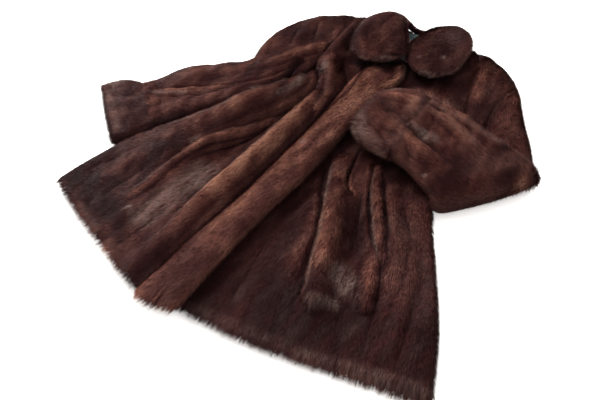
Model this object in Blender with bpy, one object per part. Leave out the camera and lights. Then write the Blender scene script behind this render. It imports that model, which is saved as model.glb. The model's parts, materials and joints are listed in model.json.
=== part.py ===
"""A mink coat with long sleeves, closed and laid flat on its back.

Metres, +Z up. The floor is Z = 0, +Y runs up the coat to the collar and +X runs to the
wearer's left. The origin is on the floor under the middle of the back panel.

Every piece is a wall of fur skin, with its lining and its lying pile. A panel is a sheet of
sections between two edges; a sleeve or cuff is a flattened tube, hollow and open at its ends.
Long soft folds lift the walls, and what lies on a panel is raised from it.
"""

from typing import NamedTuple

import bmesh
import bpy
import numpy as np

# Driving dimensions
WALL = 0.012  # one layer: hide, lining and the pile lying on it
SEAM = 0.0003  # clearance between pieces that are sewn or lie together
SIDE_SEAM = 0.001  # clearance at curved seams, where the walls stand edge to edge
EDGE = 0.010  # depth over which a free edge rounds over
LIP = 0.30  # share of the wall left at a free edge
HEM_SWELL = 1.6  # how much a swung edge gathers its curve to the middle
SLIT = 0.003  # hollow inside a flattened sleeve
CUFF_WALL = 0.0155  # turned-back fur of a cuff
COLLAR_WALL = 0.026  # two layers of fur of the collar
COLLAR_CROWN = 0.003  # swell of a collar lobe at its middle
LINING_WALL = 0.0024
LABEL_WALL = 0.0006
SLEEVE_CROWN = 0.007  # swell of a sleeve over its middle
CUFF_CROWN = 0.006

BACK_TOP = WALL
FRONT_REST = BACK_TOP + SEAM  # the fronts lie on the back
FRONT_TOP = FRONT_REST + WALL
LAP_REST = FRONT_TOP + SEAM  # the band laps over the left front
LAP_RAMP = 0.016  # width over which the band climbs from the back onto the left front
SLEEVE_HALF = WALL + SLIT / 2
CUFF_HALF = CUFF_WALL + SLIT / 2
FOLD_RADIUS = SLEEVE_HALF + 0.0006  # from the elbow's fold axis to the sleeve's middle plane
TURN_SHARE = 3.0  # how much more closely the rows stand where the sleeve turns over

# The closing edge of the right front, the seam of its band and the hem, by height Y
BAND_EDGE = ((0.040, 0.345), (0.056, 0.308), (0.074, 0.274), (0.049, 0.232), (0.044, 0.100),
             (0.043, -0.013), (0.038, -0.110), (0.026, -0.212), (0.018, -0.308), (0.012, -0.436))
BAND_SEAM = ((-0.048, 0.345), (-0.047, 0.300), (-0.046, 0.262), (-0.045, 0.225), (-0.043, 0.100),
             (-0.045, 0.000), (-0.051, -0.110), (-0.059, -0.212), (-0.070, -0.308), (-0.079, -0.442))
BAND_HEM_DROP = 0.006


class Section(NamedTuple):
    """A line across a panel, from its edge at -X to its edge at +X."""

    left: tuple
    right: tuple


class Fold(NamedTuple):
    """A soft ridge along a curve through three points."""

    start: tuple
    middle: tuple
    end: tuple
    half_width: tuple  # at its start and its end
    rise: tuple  # at its start, middle and end
    lean: float  # share by which its +X flank is the wider one


class Ring(NamedTuple):
    """A line across a flattened tube, between the tube's two long edges."""

    outer: tuple
    inner: tuple
    lift: float  # height of its middle plane
    turn: float  # degrees turned over the elbow's fold
    half: float  # half its thickness


def band_side(height):
    """A point of the right front's edge beside the band's seam, at a height up the coat."""
    seam_x, seam_y = zip(*reversed(BAND_SEAM))
    return (float(np.interp(height, seam_y, seam_x)) - SIDE_SEAM, height)


# Sections from the neck to the hem. The sides leave room for the sleeves beside them.
BACK = (
    Section((-0.1675, 0.499), (0.1775, 0.466)),
    Section((-0.1655, 0.450), (0.1810, 0.450)),
    Section((-0.1610, 0.350), (0.2045, 0.350)),
    Section((-0.1554, 0.240), (0.2325, 0.225)),
    Section((-0.1800, 0.150), (0.2500, 0.120)),
    Section((-0.2280, 0.055), (0.2530, 0.030)),
    Section((-0.2980, -0.020), (0.2900, -0.072)),
    Section((-0.3520, -0.105), (0.3270, -0.142)),
    Section((-0.3950, -0.185), (0.3620, -0.212)),
    Section((-0.4180, -0.255), (0.3970, -0.287)),
    Section((-0.4300, -0.312), (0.4160, -0.358)),
)
NECK_RISE = 0.026  # how far the neck stands above the line between the shoulders
BACK_HEM_DROP = 0.085  # how far the hem swings below the line between its corners

RIGHT_FRONT = (
    Section((-0.1675, 0.498), (-0.0700, 0.498)),
    Section((-0.1645, 0.420), (-0.0500, 0.420)),
    Section((-0.1610, 0.330), band_side(0.330)),
    Section((-0.1568, 0.240), band_side(0.240)),
    Section((-0.1800, 0.150), band_side(0.150)),
    Section((-0.2280, 0.055), band_side(0.055)),
    Section((-0.2980, -0.020), band_side(-0.004)),
    Section((-0.3520, -0.105), band_side(-0.100)),
    Section((-0.3960, -0.185), band_side(-0.206)),
    Section((-0.4210, -0.255), band_side(-0.304)),
    Section((-0.4360, -0.318), band_side(-0.436)),
)
RIGHT_HEM_DROP = 0.004

LEFT_FRONT = (
    Section((0.100, 0.476), (0.1775, 0.462)),
    Section((0.072, 0.430), (0.1880, 0.420)),
    Section((0.034, 0.350), (0.2060, 0.343)),
    Section((-0.010, 0.290), (0.2185, 0.290)),
    Section((-0.024, 0.225), (0.2325, 0.225)),
    Section((-0.024, 0.125), (0.2500, 0.120)),
    Section((-0.024, 0.030), (0.2525, 0.030)),
    Section((-0.028, -0.090), (0.2890, -0.075)),
    Section((-0.036, -0.200), (0.3260, -0.144)),
    Section((-0.044, -0.300), (0.3610, -0.216)),
    Section((-0.050, -0.385), (0.3950, -0.292)),
    Section((-0.052, -0.428), (0.4060, -0.346)),
)
LEFT_HEM_DROP = 0.018

RIGHT_FOLDS = (
    # the great roll from the armpit down along the side
    Fold((-0.138, 0.185), (-0.212, 0.036), (-0.352, -0.170), (0.034, 0.070), (0.026, 0.037, 0.010), 0.25),
    # a thin ridge inside it
    Fold((-0.122, 0.034), (-0.190, -0.082), (-0.248, -0.290), (0.020, 0.034), (0.008, 0.021, 0.009), 0.0),
    # the broad pleat beside the band, steep on its far side, and its upper part over the chest
    Fold((-0.082, 0.150), (-0.096, -0.080), (-0.122, -0.440), (0.030, 0.038), (0.018, 0.030, 0.019), 0.35),
    Fold((-0.150, 0.345), (-0.108, 0.240), (-0.076, 0.130), (0.028, 0.032), (0.005, 0.025, 0.018), 0.1),
    # the rim of the hollow at the armhole
    Fold((-0.150, 0.420), (-0.134, 0.345), (-0.126, 0.280), (0.020, 0.018), (0.004, 0.012, 0.003), 0.0),
)

LEFT_FOLDS = (
    # three pleats that fan out from under the cuff, the first one steep towards the band
    Fold((0.066, -0.010), (0.122, -0.150), (0.190, -0.345), (0.022, 0.036), (0.006, 0.030, 0.018), 0.5),
    Fold((0.142, 0.000), (0.204, -0.100), (0.272, -0.235), (0.018, 0.028), (0.004, 0.020, 0.008), 0.0),
    Fold((0.192, -0.040), (0.250, -0.128), (0.320, -0.280), (0.018, 0.034), (0.001, 0.011, 0.005), 0.0),
    # under the collar, over the chest
    Fold((0.105, 0.270), (0.136, 0.248), (0.165, 0.215), (0.026, 0.026), (0.002, 0.004, 0.001), 0.0),
)

BAND_FOLDS = (
    Fold((0.034, 0.235), (0.020, -0.120), (-0.004, -0.450), (0.050, 0.056), (0.006, 0.019, 0.011), -0.25),
)

RIGHT_SLEEVE_FOLDS = (
    # from the shoulder down the middle, and the second one along the under side
    Fold((-0.172, 0.330), (-0.228, 0.215), (-0.300, 0.060), (0.028, 0.038), (0.006, 0.020, 0.005), 0.0),
    Fold((-0.180, 0.262), (-0.232, 0.096), (-0.365, -0.060), (0.026, 0.046), (0.008, 0.018, 0.006), 0.0),
    # pleats of the sleeve head
    Fold((-0.215, 0.476), (-0.252, 0.392), (-0.296, 0.300), (0.030, 0.024), (0.004, 0.016, 0.004), 0.0),
    Fold((-0.340, 0.150), (-0.405, 0.085), (-0.480, 0.010), (0.034, 0.034), (0.004, 0.013, 0.003), 0.0),
)

LEFT_SLEEVE_FOLDS = (
    # pleats of the sleeve head, on the upper arm
    Fold((0.200, 0.440), (0.228, 0.372), (0.246, 0.300), (0.026, 0.024), (0.004, 0.016, 0.004), 0.0),
    Fold((0.268, 0.386), (0.298, 0.312), (0.326, 0.240), (0.030, 0.028), (0.004, 0.018, 0.005), 0.0),
)

FOREARM_FOLDS = (
    # the ridge under the upper edge and the one along the lower side
    Fold((0.170, 0.168), (0.262, 0.146), (0.352, 0.104), (0.034, 0.034), (0.005, 0.015, 0.003), 0.0),
    Fold((0.158, 0.072), (0.222, 0.036), (0.300, 0.002), (0.036, 0.034), (0.006, 0.017, 0.003), 0.0),
)

CUFF_FOLDS = (
    Fold((0.120, 0.190), (0.096, 0.150), (0.080, 0.080), (0.034, 0.034), (0.003, 0.006, 0.003), 0.0),
)

LOW = SLEEVE_HALF  # height of a lying sleeve's middle plane
CUFF_LOW = CUFF_HALF
RIGHT_SLEEVE = (
    Ring((-0.1690, 0.503), (-0.1585, 0.237), LOW, 0, SLEEVE_HALF),
    Ring((-0.256, 0.471), (-0.165, 0.206), LOW, 0, SLEEVE_HALF),
    Ring((-0.307, 0.424), (-0.172, 0.182), LOW, 0, SLEEVE_HALF),
    Ring((-0.331, 0.358), (-0.182, 0.158), LOW, 0, SLEEVE_HALF),
    Ring((-0.330, 0.275), (-0.194, 0.130), LOW, 0, SLEEVE_HALF),
    Ring((-0.310, 0.216), (-0.214, 0.090), LOW, 0, SLEEVE_HALF),
    Ring((-0.376, 0.168), (-0.252, 0.033), LOW, 0, SLEEVE_HALF),
    Ring((-0.459, 0.108), (-0.308, -0.026), LOW, 0, SLEEVE_HALF),
    Ring((-0.492, 0.020), (-0.352, -0.092), LOW, 0, SLEEVE_HALF),
    Ring((-0.498, 0.008), (-0.358, -0.102), LOW, 0, SLEEVE_HALF),
)
RIGHT_CUFF = (
    Ring((-0.5000, 0.0073), (-0.3585, -0.1025), CUFF_LOW, 0, CUFF_HALF),
    Ring((-0.534, 0.003), (-0.374, -0.126), CUFF_LOW, 0, CUFF_HALF),
    Ring((-0.571, -0.010), (-0.391, -0.153), CUFF_LOW, 0, CUFF_HALF),
    Ring((-0.592, -0.042), (-0.409, -0.180), CUFF_LOW, 0, CUFF_HALF),
)

# The left sleeve runs down beside the body, turns over a slanting fold at the elbow and
# comes back across the front. ELBOW is the axis of that fold.
ELBOW = ((0.402, 0.122), (0.2715, -0.028))
ELBOW_BULGE = 0.009  # how far the fold's middle rounds out
HIGH = LOW + 2 * FOLD_RADIUS
AXIS_LIFT = LOW + FOLD_RADIUS
FOREARM_RISE = 0.0045  # climb of the forearm towards the cuff
CUFF_LIFT = 0.0530
LEFT_UPPER_ARM = (
    Ring((0.1786, 0.465), (0.2326, 0.232), LOW, 0, SLEEVE_HALF),
    Ring((0.222, 0.443), (0.242, 0.208), LOW, 0, SLEEVE_HALF),
    Ring((0.264, 0.408), (0.248, 0.184), LOW, 0, SLEEVE_HALF),
    Ring((0.297, 0.362), (0.252, 0.156), LOW, 0, SLEEVE_HALF),
    Ring((0.325, 0.298), (0.2565, 0.116), LOW, 0, SLEEVE_HALF),
    Ring((0.356, 0.238), (0.2610, 0.064), LOW, 0, SLEEVE_HALF),
    Ring((0.386, 0.176), (0.2655, 0.012), LOW, 0, SLEEVE_HALF),
)
LEFT_FOREARM = (
    Ring((0.352, 0.146), (0.246, -0.012), HIGH + 0.0005, 180, SLEEVE_HALF),
    Ring((0.300, 0.170), (0.222, 0.002), HIGH + 0.0020, 180, SLEEVE_HALF),
    Ring((0.240, 0.192), (0.194, 0.014), HIGH + FOREARM_RISE, 180, SLEEVE_HALF),
    Ring((0.172, 0.204), (0.163, 0.022), HIGH + FOREARM_RISE, 180, SLEEVE_HALF),
)
LEFT_CUFF = (
    Ring((0.1715, 0.206), (0.1625, 0.016), CUFF_LIFT, 180, CUFF_HALF),
    Ring((0.128, 0.214), (0.130, 0.022), CUFF_LIFT, 180, CUFF_HALF),
    Ring((0.090, 0.206), (0.096, 0.034), CUFF_LIFT, 180, CUFF_HALF),
    Ring((0.066, 0.184), (0.072, 0.056), CUFF_LIFT, 180, CUFF_HALF),
)


class Lobe(NamedTuple):
    """A line across the collar, from its free edge to its neck edge."""

    free: tuple
    neck: tuple
    rest: float  # height of its under side
    thick: float


# Round the collar: up the right lobe, behind the neck and down the left one
COLLAR = (
    Lobe((-0.045, 0.297), (0.004, 0.305), 0.0385, 0.018),
    Lobe((-0.080, 0.314), (0.028, 0.326), 0.0376, 0.025),
    Lobe((-0.106, 0.346), (0.035, 0.360), 0.0373, COLLAR_WALL),
    Lobe((-0.116, 0.405), (0.017, 0.403), 0.0370, COLLAR_WALL),
    Lobe((-0.119, 0.462), (-0.004, 0.446), 0.0350, COLLAR_WALL),
    Lobe((-0.088, 0.514), (-0.018, 0.480), 0.0315, 0.025),
    Lobe((-0.050, 0.525), (-0.028, 0.500), 0.0195, 0.024),
    Lobe((-0.020, 0.516), (-0.022, 0.5020), 0.0126, 0.011),
    Lobe((0.014, 0.502), (0.012, 0.4935), 0.0124, 0.008),
    Lobe((0.050, 0.514), (0.044, 0.5000), 0.0126, 0.011),
    Lobe((0.088, 0.527), (0.058, 0.498), 0.0250, 0.018),
    Lobe((0.122, 0.512), (0.040, 0.472), 0.0290, 0.025),
    Lobe((0.156, 0.460), (0.029, 0.438), 0.0260, COLLAR_WALL),
    Lobe((0.161, 0.400), (0.0235, 0.398), 0.0250, COLLAR_WALL),
    Lobe((0.161, 0.350), (0.040, 0.357), 0.0252, COLLAR_WALL),
    Lobe((0.147, 0.318), (0.062, 0.324), 0.0310, 0.025),
    Lobe((0.126, 0.303), (0.088, 0.307), 0.0330, 0.018),
)

# Grey lining in the neck opening, with a plain woven label on it
LINING = (
    Section((-0.046, 0.4915), (0.080, 0.4905)),
    Section((-0.042, 0.430), (0.064, 0.430)),
    Section((-0.024, 0.352), (0.026, 0.352)),
)
LINING_REST = BACK_TOP + SEAM
LABEL_CENTRE = (-0.010, 0.478)
LABEL_SIZE = (0.058, 0.024)

MATERIALS = {
    "mink": ((0.060, 0.022, 0.015, 1.0), 0.60),
    "lining": ((0.250, 0.240, 0.235, 1.0), 0.45),
    "label": ((0.030, 0.042, 0.046, 1.0), 0.55),
}


def material(name):
    """The Principled material of that name, made once."""
    if name in bpy.data.materials:
        return bpy.data.materials[name]
    colour, roughness = MATERIALS[name]
    made = bpy.data.materials.new(name)
    made.use_nodes = True
    shader = made.node_tree.nodes["Principled BSDF"]
    shader.inputs["Base Color"].default_value = colour
    shader.inputs["Roughness"].default_value = roughness
    shader.inputs["Metallic"].default_value = 0.0
    return made


def catmull_rom(table, place):
    """The smooth curve through a table's rows, at a place counted in rows."""
    last = len(table) - 1
    row = min(int(place), last - 1)
    t = place - row
    before, start, end, after = (table[min(max(row + step, 0), last)] for step in (-1, 0, 1, 2))
    return 0.5 * (
        2 * start
        + (end - before) * t
        + (2 * before - 5 * start + 4 * end - after) * t**2
        + (3 * start - before - 3 * end + after) * t**3
    )


def spaced(length, count, soft_start, soft_end):
    """Places along a length, with one more just inside each edge that rounds over."""
    start = [0.0, 0.3 * EDGE] if soft_start else []
    end = [length - 0.3 * EDGE, length] if soft_end else []
    first = EDGE if soft_start else 0.0
    final = length - EDGE if soft_end else length
    middle = np.linspace(first, final, count - len(start) - len(end))
    return np.array(start + list(middle) + end)


def run_through(rows, count, soft_start=False, soft_end=False, turned_at=None):
    """A section table as a smooth run of `count` rows, and their distances along the piece.

    `turned_at` is the column that holds a tube's turn, which counts as length too.
    """
    table = np.array([np.hstack([np.ravel(value) for value in row]) for row in rows], dtype=float)
    fine = np.array([catmull_rom(table, place) for place in np.linspace(0, len(table) - 1, 300)])
    middle = (fine[:, 0:2] + fine[:, 2:4]) / 2
    steps = np.linalg.norm(np.diff(middle, axis=0), axis=1)
    if turned_at is not None:
        steps += TURN_SHARE * FOLD_RADIUS * np.radians(np.abs(np.diff(fine[:, turned_at])))
    run = np.concatenate(([0.0], np.cumsum(steps)))
    places = spaced(run[-1], count, soft_start, soft_end)
    return np.column_stack([np.interp(places, run, column) for column in fine.T]), places, run[-1]


def rounded(distance):
    """Share of the wall that stands at a distance from a free edge, as a quarter circle."""
    inside = 1 - np.clip(distance, 0, EDGE) / EDGE
    return np.sqrt(1 - inside**2)


def fold_height(point, folds):
    """How far the folds lift the cloth over a point of the floor."""
    lifts = [0.0]
    for fold in folds:
        t = np.linspace(0, 1, 33)[:, None]
        start, middle, end = (np.array(corner) for corner in (fold.start, fold.middle, fold.end))
        control = 2 * middle - (start + end) / 2
        curve = (1 - t) ** 2 * start + 2 * t * (1 - t) * control + t**2 * end
        offsets = np.asarray(point) - curve
        nearest = int(np.argmin(np.linalg.norm(offsets, axis=1)))
        along = nearest / 32
        side = 1 + fold.lean * np.sign(offsets[nearest][0])
        half = (fold.half_width[0] * (1 - along) + fold.half_width[1] * along) * side
        reach = min(np.linalg.norm(offsets[nearest]) / half, 1.0)
        rise = np.interp(along, (0, 0.5, 1), fold.rise)
        lifts.append(rise * (1 - reach**2))
    return float(np.sum(np.array(lifts) ** 3) ** (1 / 3))


def finish(name, mesh_builder, material_name):
    """Put a bmesh into the scene as the object of that name."""
    bmesh.ops.recalc_face_normals(mesh_builder, faces=mesh_builder.faces)
    mesh = bpy.data.meshes.new(name)
    mesh_builder.to_mesh(mesh)
    mesh_builder.free()
    mesh.materials.append(material(material_name))
    mesh.shade_smooth()
    mesh.set_sharp_from_angle(angle=0.9)
    made = bpy.data.objects.new(name, mesh)
    bpy.context.scene.collection.objects.link(made)
    return made


def wall(name, under, over, material_name):
    """A closed wall between an under and an over grid of points, rows by columns."""
    rows, columns = under.shape[:2]
    builder = bmesh.new()
    bmesh.ops.create_grid(builder, x_segments=columns - 1, y_segments=rows - 1, size=1.0)
    place = builder.verts.layers.int.new("place")
    for number, vertex in enumerate(builder.verts):
        vertex[place] = number
        vertex.co = under[number // columns, number % columns]
    grown = bmesh.ops.extrude_face_region(builder, geom=builder.faces[:])
    for vertex in grown["geom"]:
        if isinstance(vertex, bmesh.types.BMVert):
            vertex.co = over[vertex[place] // columns, vertex[place] % columns]
    builder.verts.layers.int.remove(place)
    return finish(name, builder, material_name)


class Soft(NamedTuple):
    """Which edges of a panel are free and round over."""

    left: bool
    right: bool
    start: bool
    end: bool


def panel(name, sections, counts, soft, rest, folds=(), thick=WALL, swing=(0.0, 0.0),
          material_name="mink"):
    """A panel that lies on `rest`, with its folds lifting it as a wall of even thickness.

    `swing` curves its first and last edge out beyond the straight lines between the corners.
    """
    rows, along, length = run_through(sections, counts[0], soft.start, soft.end)
    under, over = np.zeros((2, counts[0], counts[1], 3))
    for i, row in enumerate(rows):
        left, right = row[0:2], row[2:4]
        width = np.linalg.norm(right - left)
        share = along[i] / length
        curve = swing[0] * (1 - share) ** 4 - swing[1] * share**4
        for j, across in enumerate(spaced(width, counts[1], soft.left, soft.right)):
            t = across / width
            bow = curve * max(np.sin(np.pi * t), 0.0) ** HEM_SWELL
            point = left + (right - left) * t + np.array((0, bow))
            standing = min(
                rounded(across) if soft.left else 1.0,
                rounded(width - across) if soft.right else 1.0,
                rounded(along[i]) if soft.start else 1.0,
                rounded(length - along[i]) if soft.end else 1.0,
            )
            floor = rest(across, width) if callable(rest) else rest
            bottom = floor + fold_height(point, folds)
            top = bottom + thick * (LIP + (1 - LIP) * standing)
            under[i, j] = (*point, bottom)
            over[i, j] = (*point, top)
    return wall(name, under, over, material_name)


def lapped(across, _width):
    """The band's under side: on the back at its seam, then up onto the left front."""
    climb = np.clip((across - 0.002) / LAP_RAMP, 0, 1)
    return FRONT_REST + (LAP_REST - FRONT_REST) * climb**2 * (3 - 2 * climb)


def tube(name, rings, counts, folds, wall_thick, crown, fold_side=(0.0, 0.0, 0.0),
         material_name="mink"):
    """A flattened hollow tube through its rings, open at both ends.

    A ring that is turned over the elbow's fold has its thickness turned from the vertical
    towards `fold_side`. The folds and the crown are on whichever side looks up.
    """
    rows = run_through(rings, counts[0], turned_at=Ring._fields.index("turn") + 2)[0]
    side = np.array(fold_side)
    skins = []
    for inset in (0.0, wall_thick):
        loops = []
        for row in rows:
            outer, inner = row[0:2], row[2:4]
            lift, turn, half = row[4], np.radians(row[5]), row[6]
            direction = np.array((0, 0, -np.cos(turn))) + side * np.sin(turn)
            width = np.linalg.norm(inner - outer)
            step = (inner - outer) / width
            places = spaced(width - 2 * inset, counts[1], True, True) + inset
            near, far = [], []
            for place in places:
                edge = min(place, width - place) - inset
                bulge = ELBOW_BULGE * np.sin(np.pi * place / width)
                point = np.array((*(outer + step * place), lift))
                point += side * (FOLD_RADIUS + bulge) * np.sin(turn)
                stands = (half - inset) * rounded(edge) if edge > 0 else 0.0
                swell = crown * np.sin(np.pi * place / width) ** 2 + fold_height(point[:2], folds)
                fade = rounded(min(place, width - place))
                swell = min(swell * fade, (stands + inset) * 1.2)
                up = swell * max(0.0, -direction[2]), swell * max(0.0, direction[2])
                near.append(point - direction * (stands + up[0]))
                far.append(point + direction * (stands + up[1]))
            loops.append(near + far[-2:0:-1])
        skins.append(loops)
    builder = bmesh.new()
    outside, inside = ([[builder.verts.new(point) for point in loop] for loop in skin] for skin in skins)
    around = len(outside[0])
    for skin in (outside, inside):
        for first, second in zip(skin, skin[1:]):
            for k in range(around):
                after = (k + 1) % around
                builder.faces.new((first[k], first[after], second[after], second[k]))
    for end in (0, -1):
        for k in range(around):
            after = (k + 1) % around
            builder.faces.new((outside[end][k], outside[end][after], inside[end][after], inside[end][k]))
    return finish(name, builder, material_name)


def elbow_rings():
    """The left sleeve's rings: upper arm, the turn over the fold, forearm."""
    turn = [Ring(*ELBOW, AXIS_LIFT - FOLD_RADIUS * np.cos(np.radians(angle)), angle, SLEEVE_HALF)
            for angle in (0, 45, 90, 135, 180)]
    return LEFT_UPPER_ARM + tuple(turn) + LEFT_FOREARM


def elbow_side():
    """The level direction out of the elbow, square to its fold."""
    run = np.array(ELBOW[1]) - np.array(ELBOW[0])
    across = np.array((-run[1], run[0], 0.0))
    across /= np.linalg.norm(across)
    return across if across[0] > 0 else -across


def collar():
    """One long collar: a lobe over each front and a low stand behind the neck."""
    count = 28
    rows, along, length = run_through(COLLAR, count, True, True)
    columns = 8
    under, over = np.zeros((2, count, columns, 3))
    for i, row in enumerate(rows):
        free, neck = row[0:2], row[2:4]
        width = np.linalg.norm(neck - free)
        end = LIP + (1 - LIP) * rounded(min(along[i], length - along[i]))
        swell = COLLAR_CROWN * min(width / 0.12, 1.0)
        for j, t in enumerate(np.linspace(0, 1, columns)):
            arch = np.sqrt(1 - (2 * t - 1) ** 6)
            point = free + (neck - free) * t
            thick = row[5] * end * (LIP + (1 - LIP) * arch)
            middle = row[4] + row[5] / 2
            under[i, j] = (*point, middle - thick / 2)
            over[i, j] = (*point, middle + thick / 2 + swell * np.sin(np.pi * t) * end)
    return wall("collar", under, over, "mink")


def label():
    """The small woven label, left plain."""
    builder = bmesh.new()
    bmesh.ops.create_cube(builder, size=1.0)
    rest = LINING_REST + LINING_WALL + SEAM
    bmesh.ops.scale(builder, verts=builder.verts, vec=(*LABEL_SIZE, LABEL_WALL))
    bmesh.ops.translate(builder, verts=builder.verts, vec=(*LABEL_CENTRE, rest + LABEL_WALL / 2))
    return finish("label", builder, "label")


def body():
    """The back, the two fronts and the band along the right front's closing edge."""
    panel("back", BACK, (14, 9), Soft(True, True, True, True), 0.0, swing=(NECK_RISE, BACK_HEM_DROP))
    panel("front_right", RIGHT_FRONT, (30, 18), Soft(True, False, False, True), FRONT_REST,
          RIGHT_FOLDS, swing=(0.0, RIGHT_HEM_DROP))
    panel("front_left", LEFT_FRONT, (25, 18), Soft(True, True, False, True), FRONT_REST,
          LEFT_FOLDS, swing=(0.0, LEFT_HEM_DROP))
    band = [Section(seam, edge) for seam, edge in zip(BAND_SEAM, BAND_EDGE)]
    panel("front_band", band, (23, 8), Soft(False, True, True, True), lapped,
          RIGHT_FOLDS + BAND_FOLDS, swing=(0.0, BAND_HEM_DROP))


def sleeves():
    """Both sleeves and their cuffs."""
    side = elbow_side()
    tube("sleeve_right", RIGHT_SLEEVE, (18, 11), RIGHT_SLEEVE_FOLDS, WALL, SLEEVE_CROWN)
    tube("cuff_right", RIGHT_CUFF, (5, 10), (), CUFF_WALL, CUFF_CROWN)
    tube("sleeve_left", elbow_rings(), (26, 10), LEFT_SLEEVE_FOLDS + FOREARM_FOLDS, WALL,
         SLEEVE_CROWN, side)
    tube("cuff_left", LEFT_CUFF, (5, 10), CUFF_FOLDS, CUFF_WALL, CUFF_CROWN, side)


def neck():
    """The collar, the lining that shows between its lobes, and the label."""
    collar()
    panel("neck_lining", LINING, (4, 4), Soft(False, False, False, False), LINING_REST,
          thick=LINING_WALL, material_name="lining")
    label()


def main():
    """Clear the scene and build the coat."""
    for old in list(bpy.data.objects):
        bpy.data.objects.remove(old, do_unlink=True)
    body()
    sleeves()
    neck()


main()
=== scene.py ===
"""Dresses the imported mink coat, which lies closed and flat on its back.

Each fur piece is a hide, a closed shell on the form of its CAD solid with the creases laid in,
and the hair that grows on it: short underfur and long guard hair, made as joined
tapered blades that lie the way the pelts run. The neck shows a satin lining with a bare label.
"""

import json
import logging
import math
from dataclasses import dataclass, field
from enum import Enum

import bmesh
import bpy
import numpy as np
from mathutils import Matrix, Vector
from mathutils.bvhtree import BVHTree
from mathutils.kdtree import KDTree

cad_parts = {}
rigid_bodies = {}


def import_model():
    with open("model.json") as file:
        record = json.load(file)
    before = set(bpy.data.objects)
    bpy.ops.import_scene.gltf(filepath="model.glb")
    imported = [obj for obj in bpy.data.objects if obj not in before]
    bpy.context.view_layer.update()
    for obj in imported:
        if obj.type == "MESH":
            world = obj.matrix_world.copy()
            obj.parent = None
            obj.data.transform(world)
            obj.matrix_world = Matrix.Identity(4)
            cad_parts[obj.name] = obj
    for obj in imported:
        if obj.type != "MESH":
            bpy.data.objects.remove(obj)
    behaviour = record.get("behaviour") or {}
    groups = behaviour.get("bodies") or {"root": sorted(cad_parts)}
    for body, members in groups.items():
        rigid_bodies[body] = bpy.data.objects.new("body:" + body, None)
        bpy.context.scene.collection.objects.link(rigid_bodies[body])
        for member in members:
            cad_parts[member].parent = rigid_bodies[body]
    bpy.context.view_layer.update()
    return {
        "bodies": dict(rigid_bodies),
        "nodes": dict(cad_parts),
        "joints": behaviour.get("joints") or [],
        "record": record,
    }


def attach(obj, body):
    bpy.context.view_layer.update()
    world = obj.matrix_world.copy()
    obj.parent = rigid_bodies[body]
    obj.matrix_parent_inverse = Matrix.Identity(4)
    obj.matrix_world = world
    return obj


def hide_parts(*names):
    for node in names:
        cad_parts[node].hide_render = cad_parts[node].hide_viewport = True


BODY = "root"  # cloth has no joints, so every piece rides on the one body
MILLIMETRES = 1000  # in a metre; the coat's tables are in millimetres

# the hide
WELD = 1e-5  # metres within which two corners are one
PILE_DEPTH = 0.0030  # how far the hide lies below the pile's surface, which the CAD solid states
SIDE_DEPTH = 0.0008  # the same on a wall that stands upright
SHELL_LEVELS = 2
CORNER = 0.9  # radians between two faces from which their edge counts as a corner

# the relief
CREASE_STEPS = 60  # points along a crease
CREASE_MARGIN = 1.2  # how far round a crease places are tried, against its widest flank
RIDGE_POWER, TROUGH_POWER = 1.5, 1.6  # how round a ridge is and how pointed a trough
SHEEN_PLACE, SHEEN_WIDTH = 0.52, 0.17  # where the painted sheen lies on a ridge's flank, and how broad
SHEEN_ENDS = (0, 0.15, 0.85, 1)  # places along a ridge between which the painted sheen comes and goes
PATCH_EDGE = 1.5  # radii at which a patch has faded out
RIDGE_BLEND = 4.0  # power that joins ridges, so that a sharp valley is left between them
RELIEF_STEP = 0.004  # metres to each side at which the relief's slope is read
HOLLOW_DEPTH = 0.0008  # metres below its surroundings at which a place counts as a sharp valley
FIRM_SLOPE = 0.5  # rise of the hide's direction from which creases move it in full
DIMPLE_SHARE = 0.45  # height of the small swells against the broad ones
CREASE_AIR = 3  # how fast creases come up with the open air
SINK = 0.8  # how much of a sharp valley the hide follows, so that it stays under the roots

# the seams between pieces
SEAM_REACH = 0.012  # metres from a seam within which brushed fur hides it
SEAM_BLEND = 2.5  # how fast the fur turns up towards a seam
SEAM_RISE = 0.05  # rise of the hide's direction from which a place may take part
LEVEL = 0.92  # rise of the hide's direction from which a place lies level
AIRY = 0.2  # open air from which a place is seen

# open air
SKY_RAYS = 18  # directions that are tested
LOWEST_RAY, RAY_HEIGHTS = 0.12, 0.85  # how steep the lowest is, and how much more the steepest
FACE_DOWN = -0.4  # rise of the surface's direction under which it sees no sky
GRAZING = -0.05  # how far behind the surface a ray may start
SKY_START = 0.0035  # metres over the hide, above the seams between pieces
SKY_LIFT = 0.0015  # metres off the hide
SKY_REACH = 0.10

# the hair
PER_SQUARE_METRE = 0.86e6  # blades on open fur, both kinds together
MOST_BLADES = 196_000  # in one piece
HAIR_AIR = 4  # how fast the hair comes up with the open air
HAIR_FROM, HAIR_RANGE = -0.35, 0.3  # rise of the hide's direction at which hair starts, up to full
LAYER_WEIGHT = 4  # how much farther a sweep counts that lies a layer up
SWEEP_POWER, SWEEP_CORE = 1.5, 1e-4  # how fast a sweep fades, and square metres of its core
LOCKS = 14_000  # in one piece
LOCK_SPREAD = 0.001  # metres that a lock's middle strays
LOCK_TURN, LOCK_LIFT, LOCK_TONE = 2.5, 2.0, 0.06  # what the hairs of a lock share; two in degrees
LIFT_STRAY = 0.6  # how much the lift strays against the turn
LENGTHS, WIDTHS = (0.72, 1.18), (0.7, 1.3)  # least and most, against the kind's own
LIFTS = (0.05, 1.3)  # least and most radians off the hide
ROLL = 22.0  # degrees that a blade is rolled about its length
TONE_STRAY, BLOOM_STRAY = 0.07, 0.35  # how much single hairs differ
TONES = (0.03, 2.0)  # darkest and lightest
ROOT_DEPTH = 0.0006  # metres below the hide at which a blade starts
FLOOR_CLEARANCE = 0.0006
LOWEST = 0.0002  # metres over the floor under which no corner of a blade comes
TIP_SPREAD = 0.002  # metres over which tips that meet the floor are spread
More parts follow.
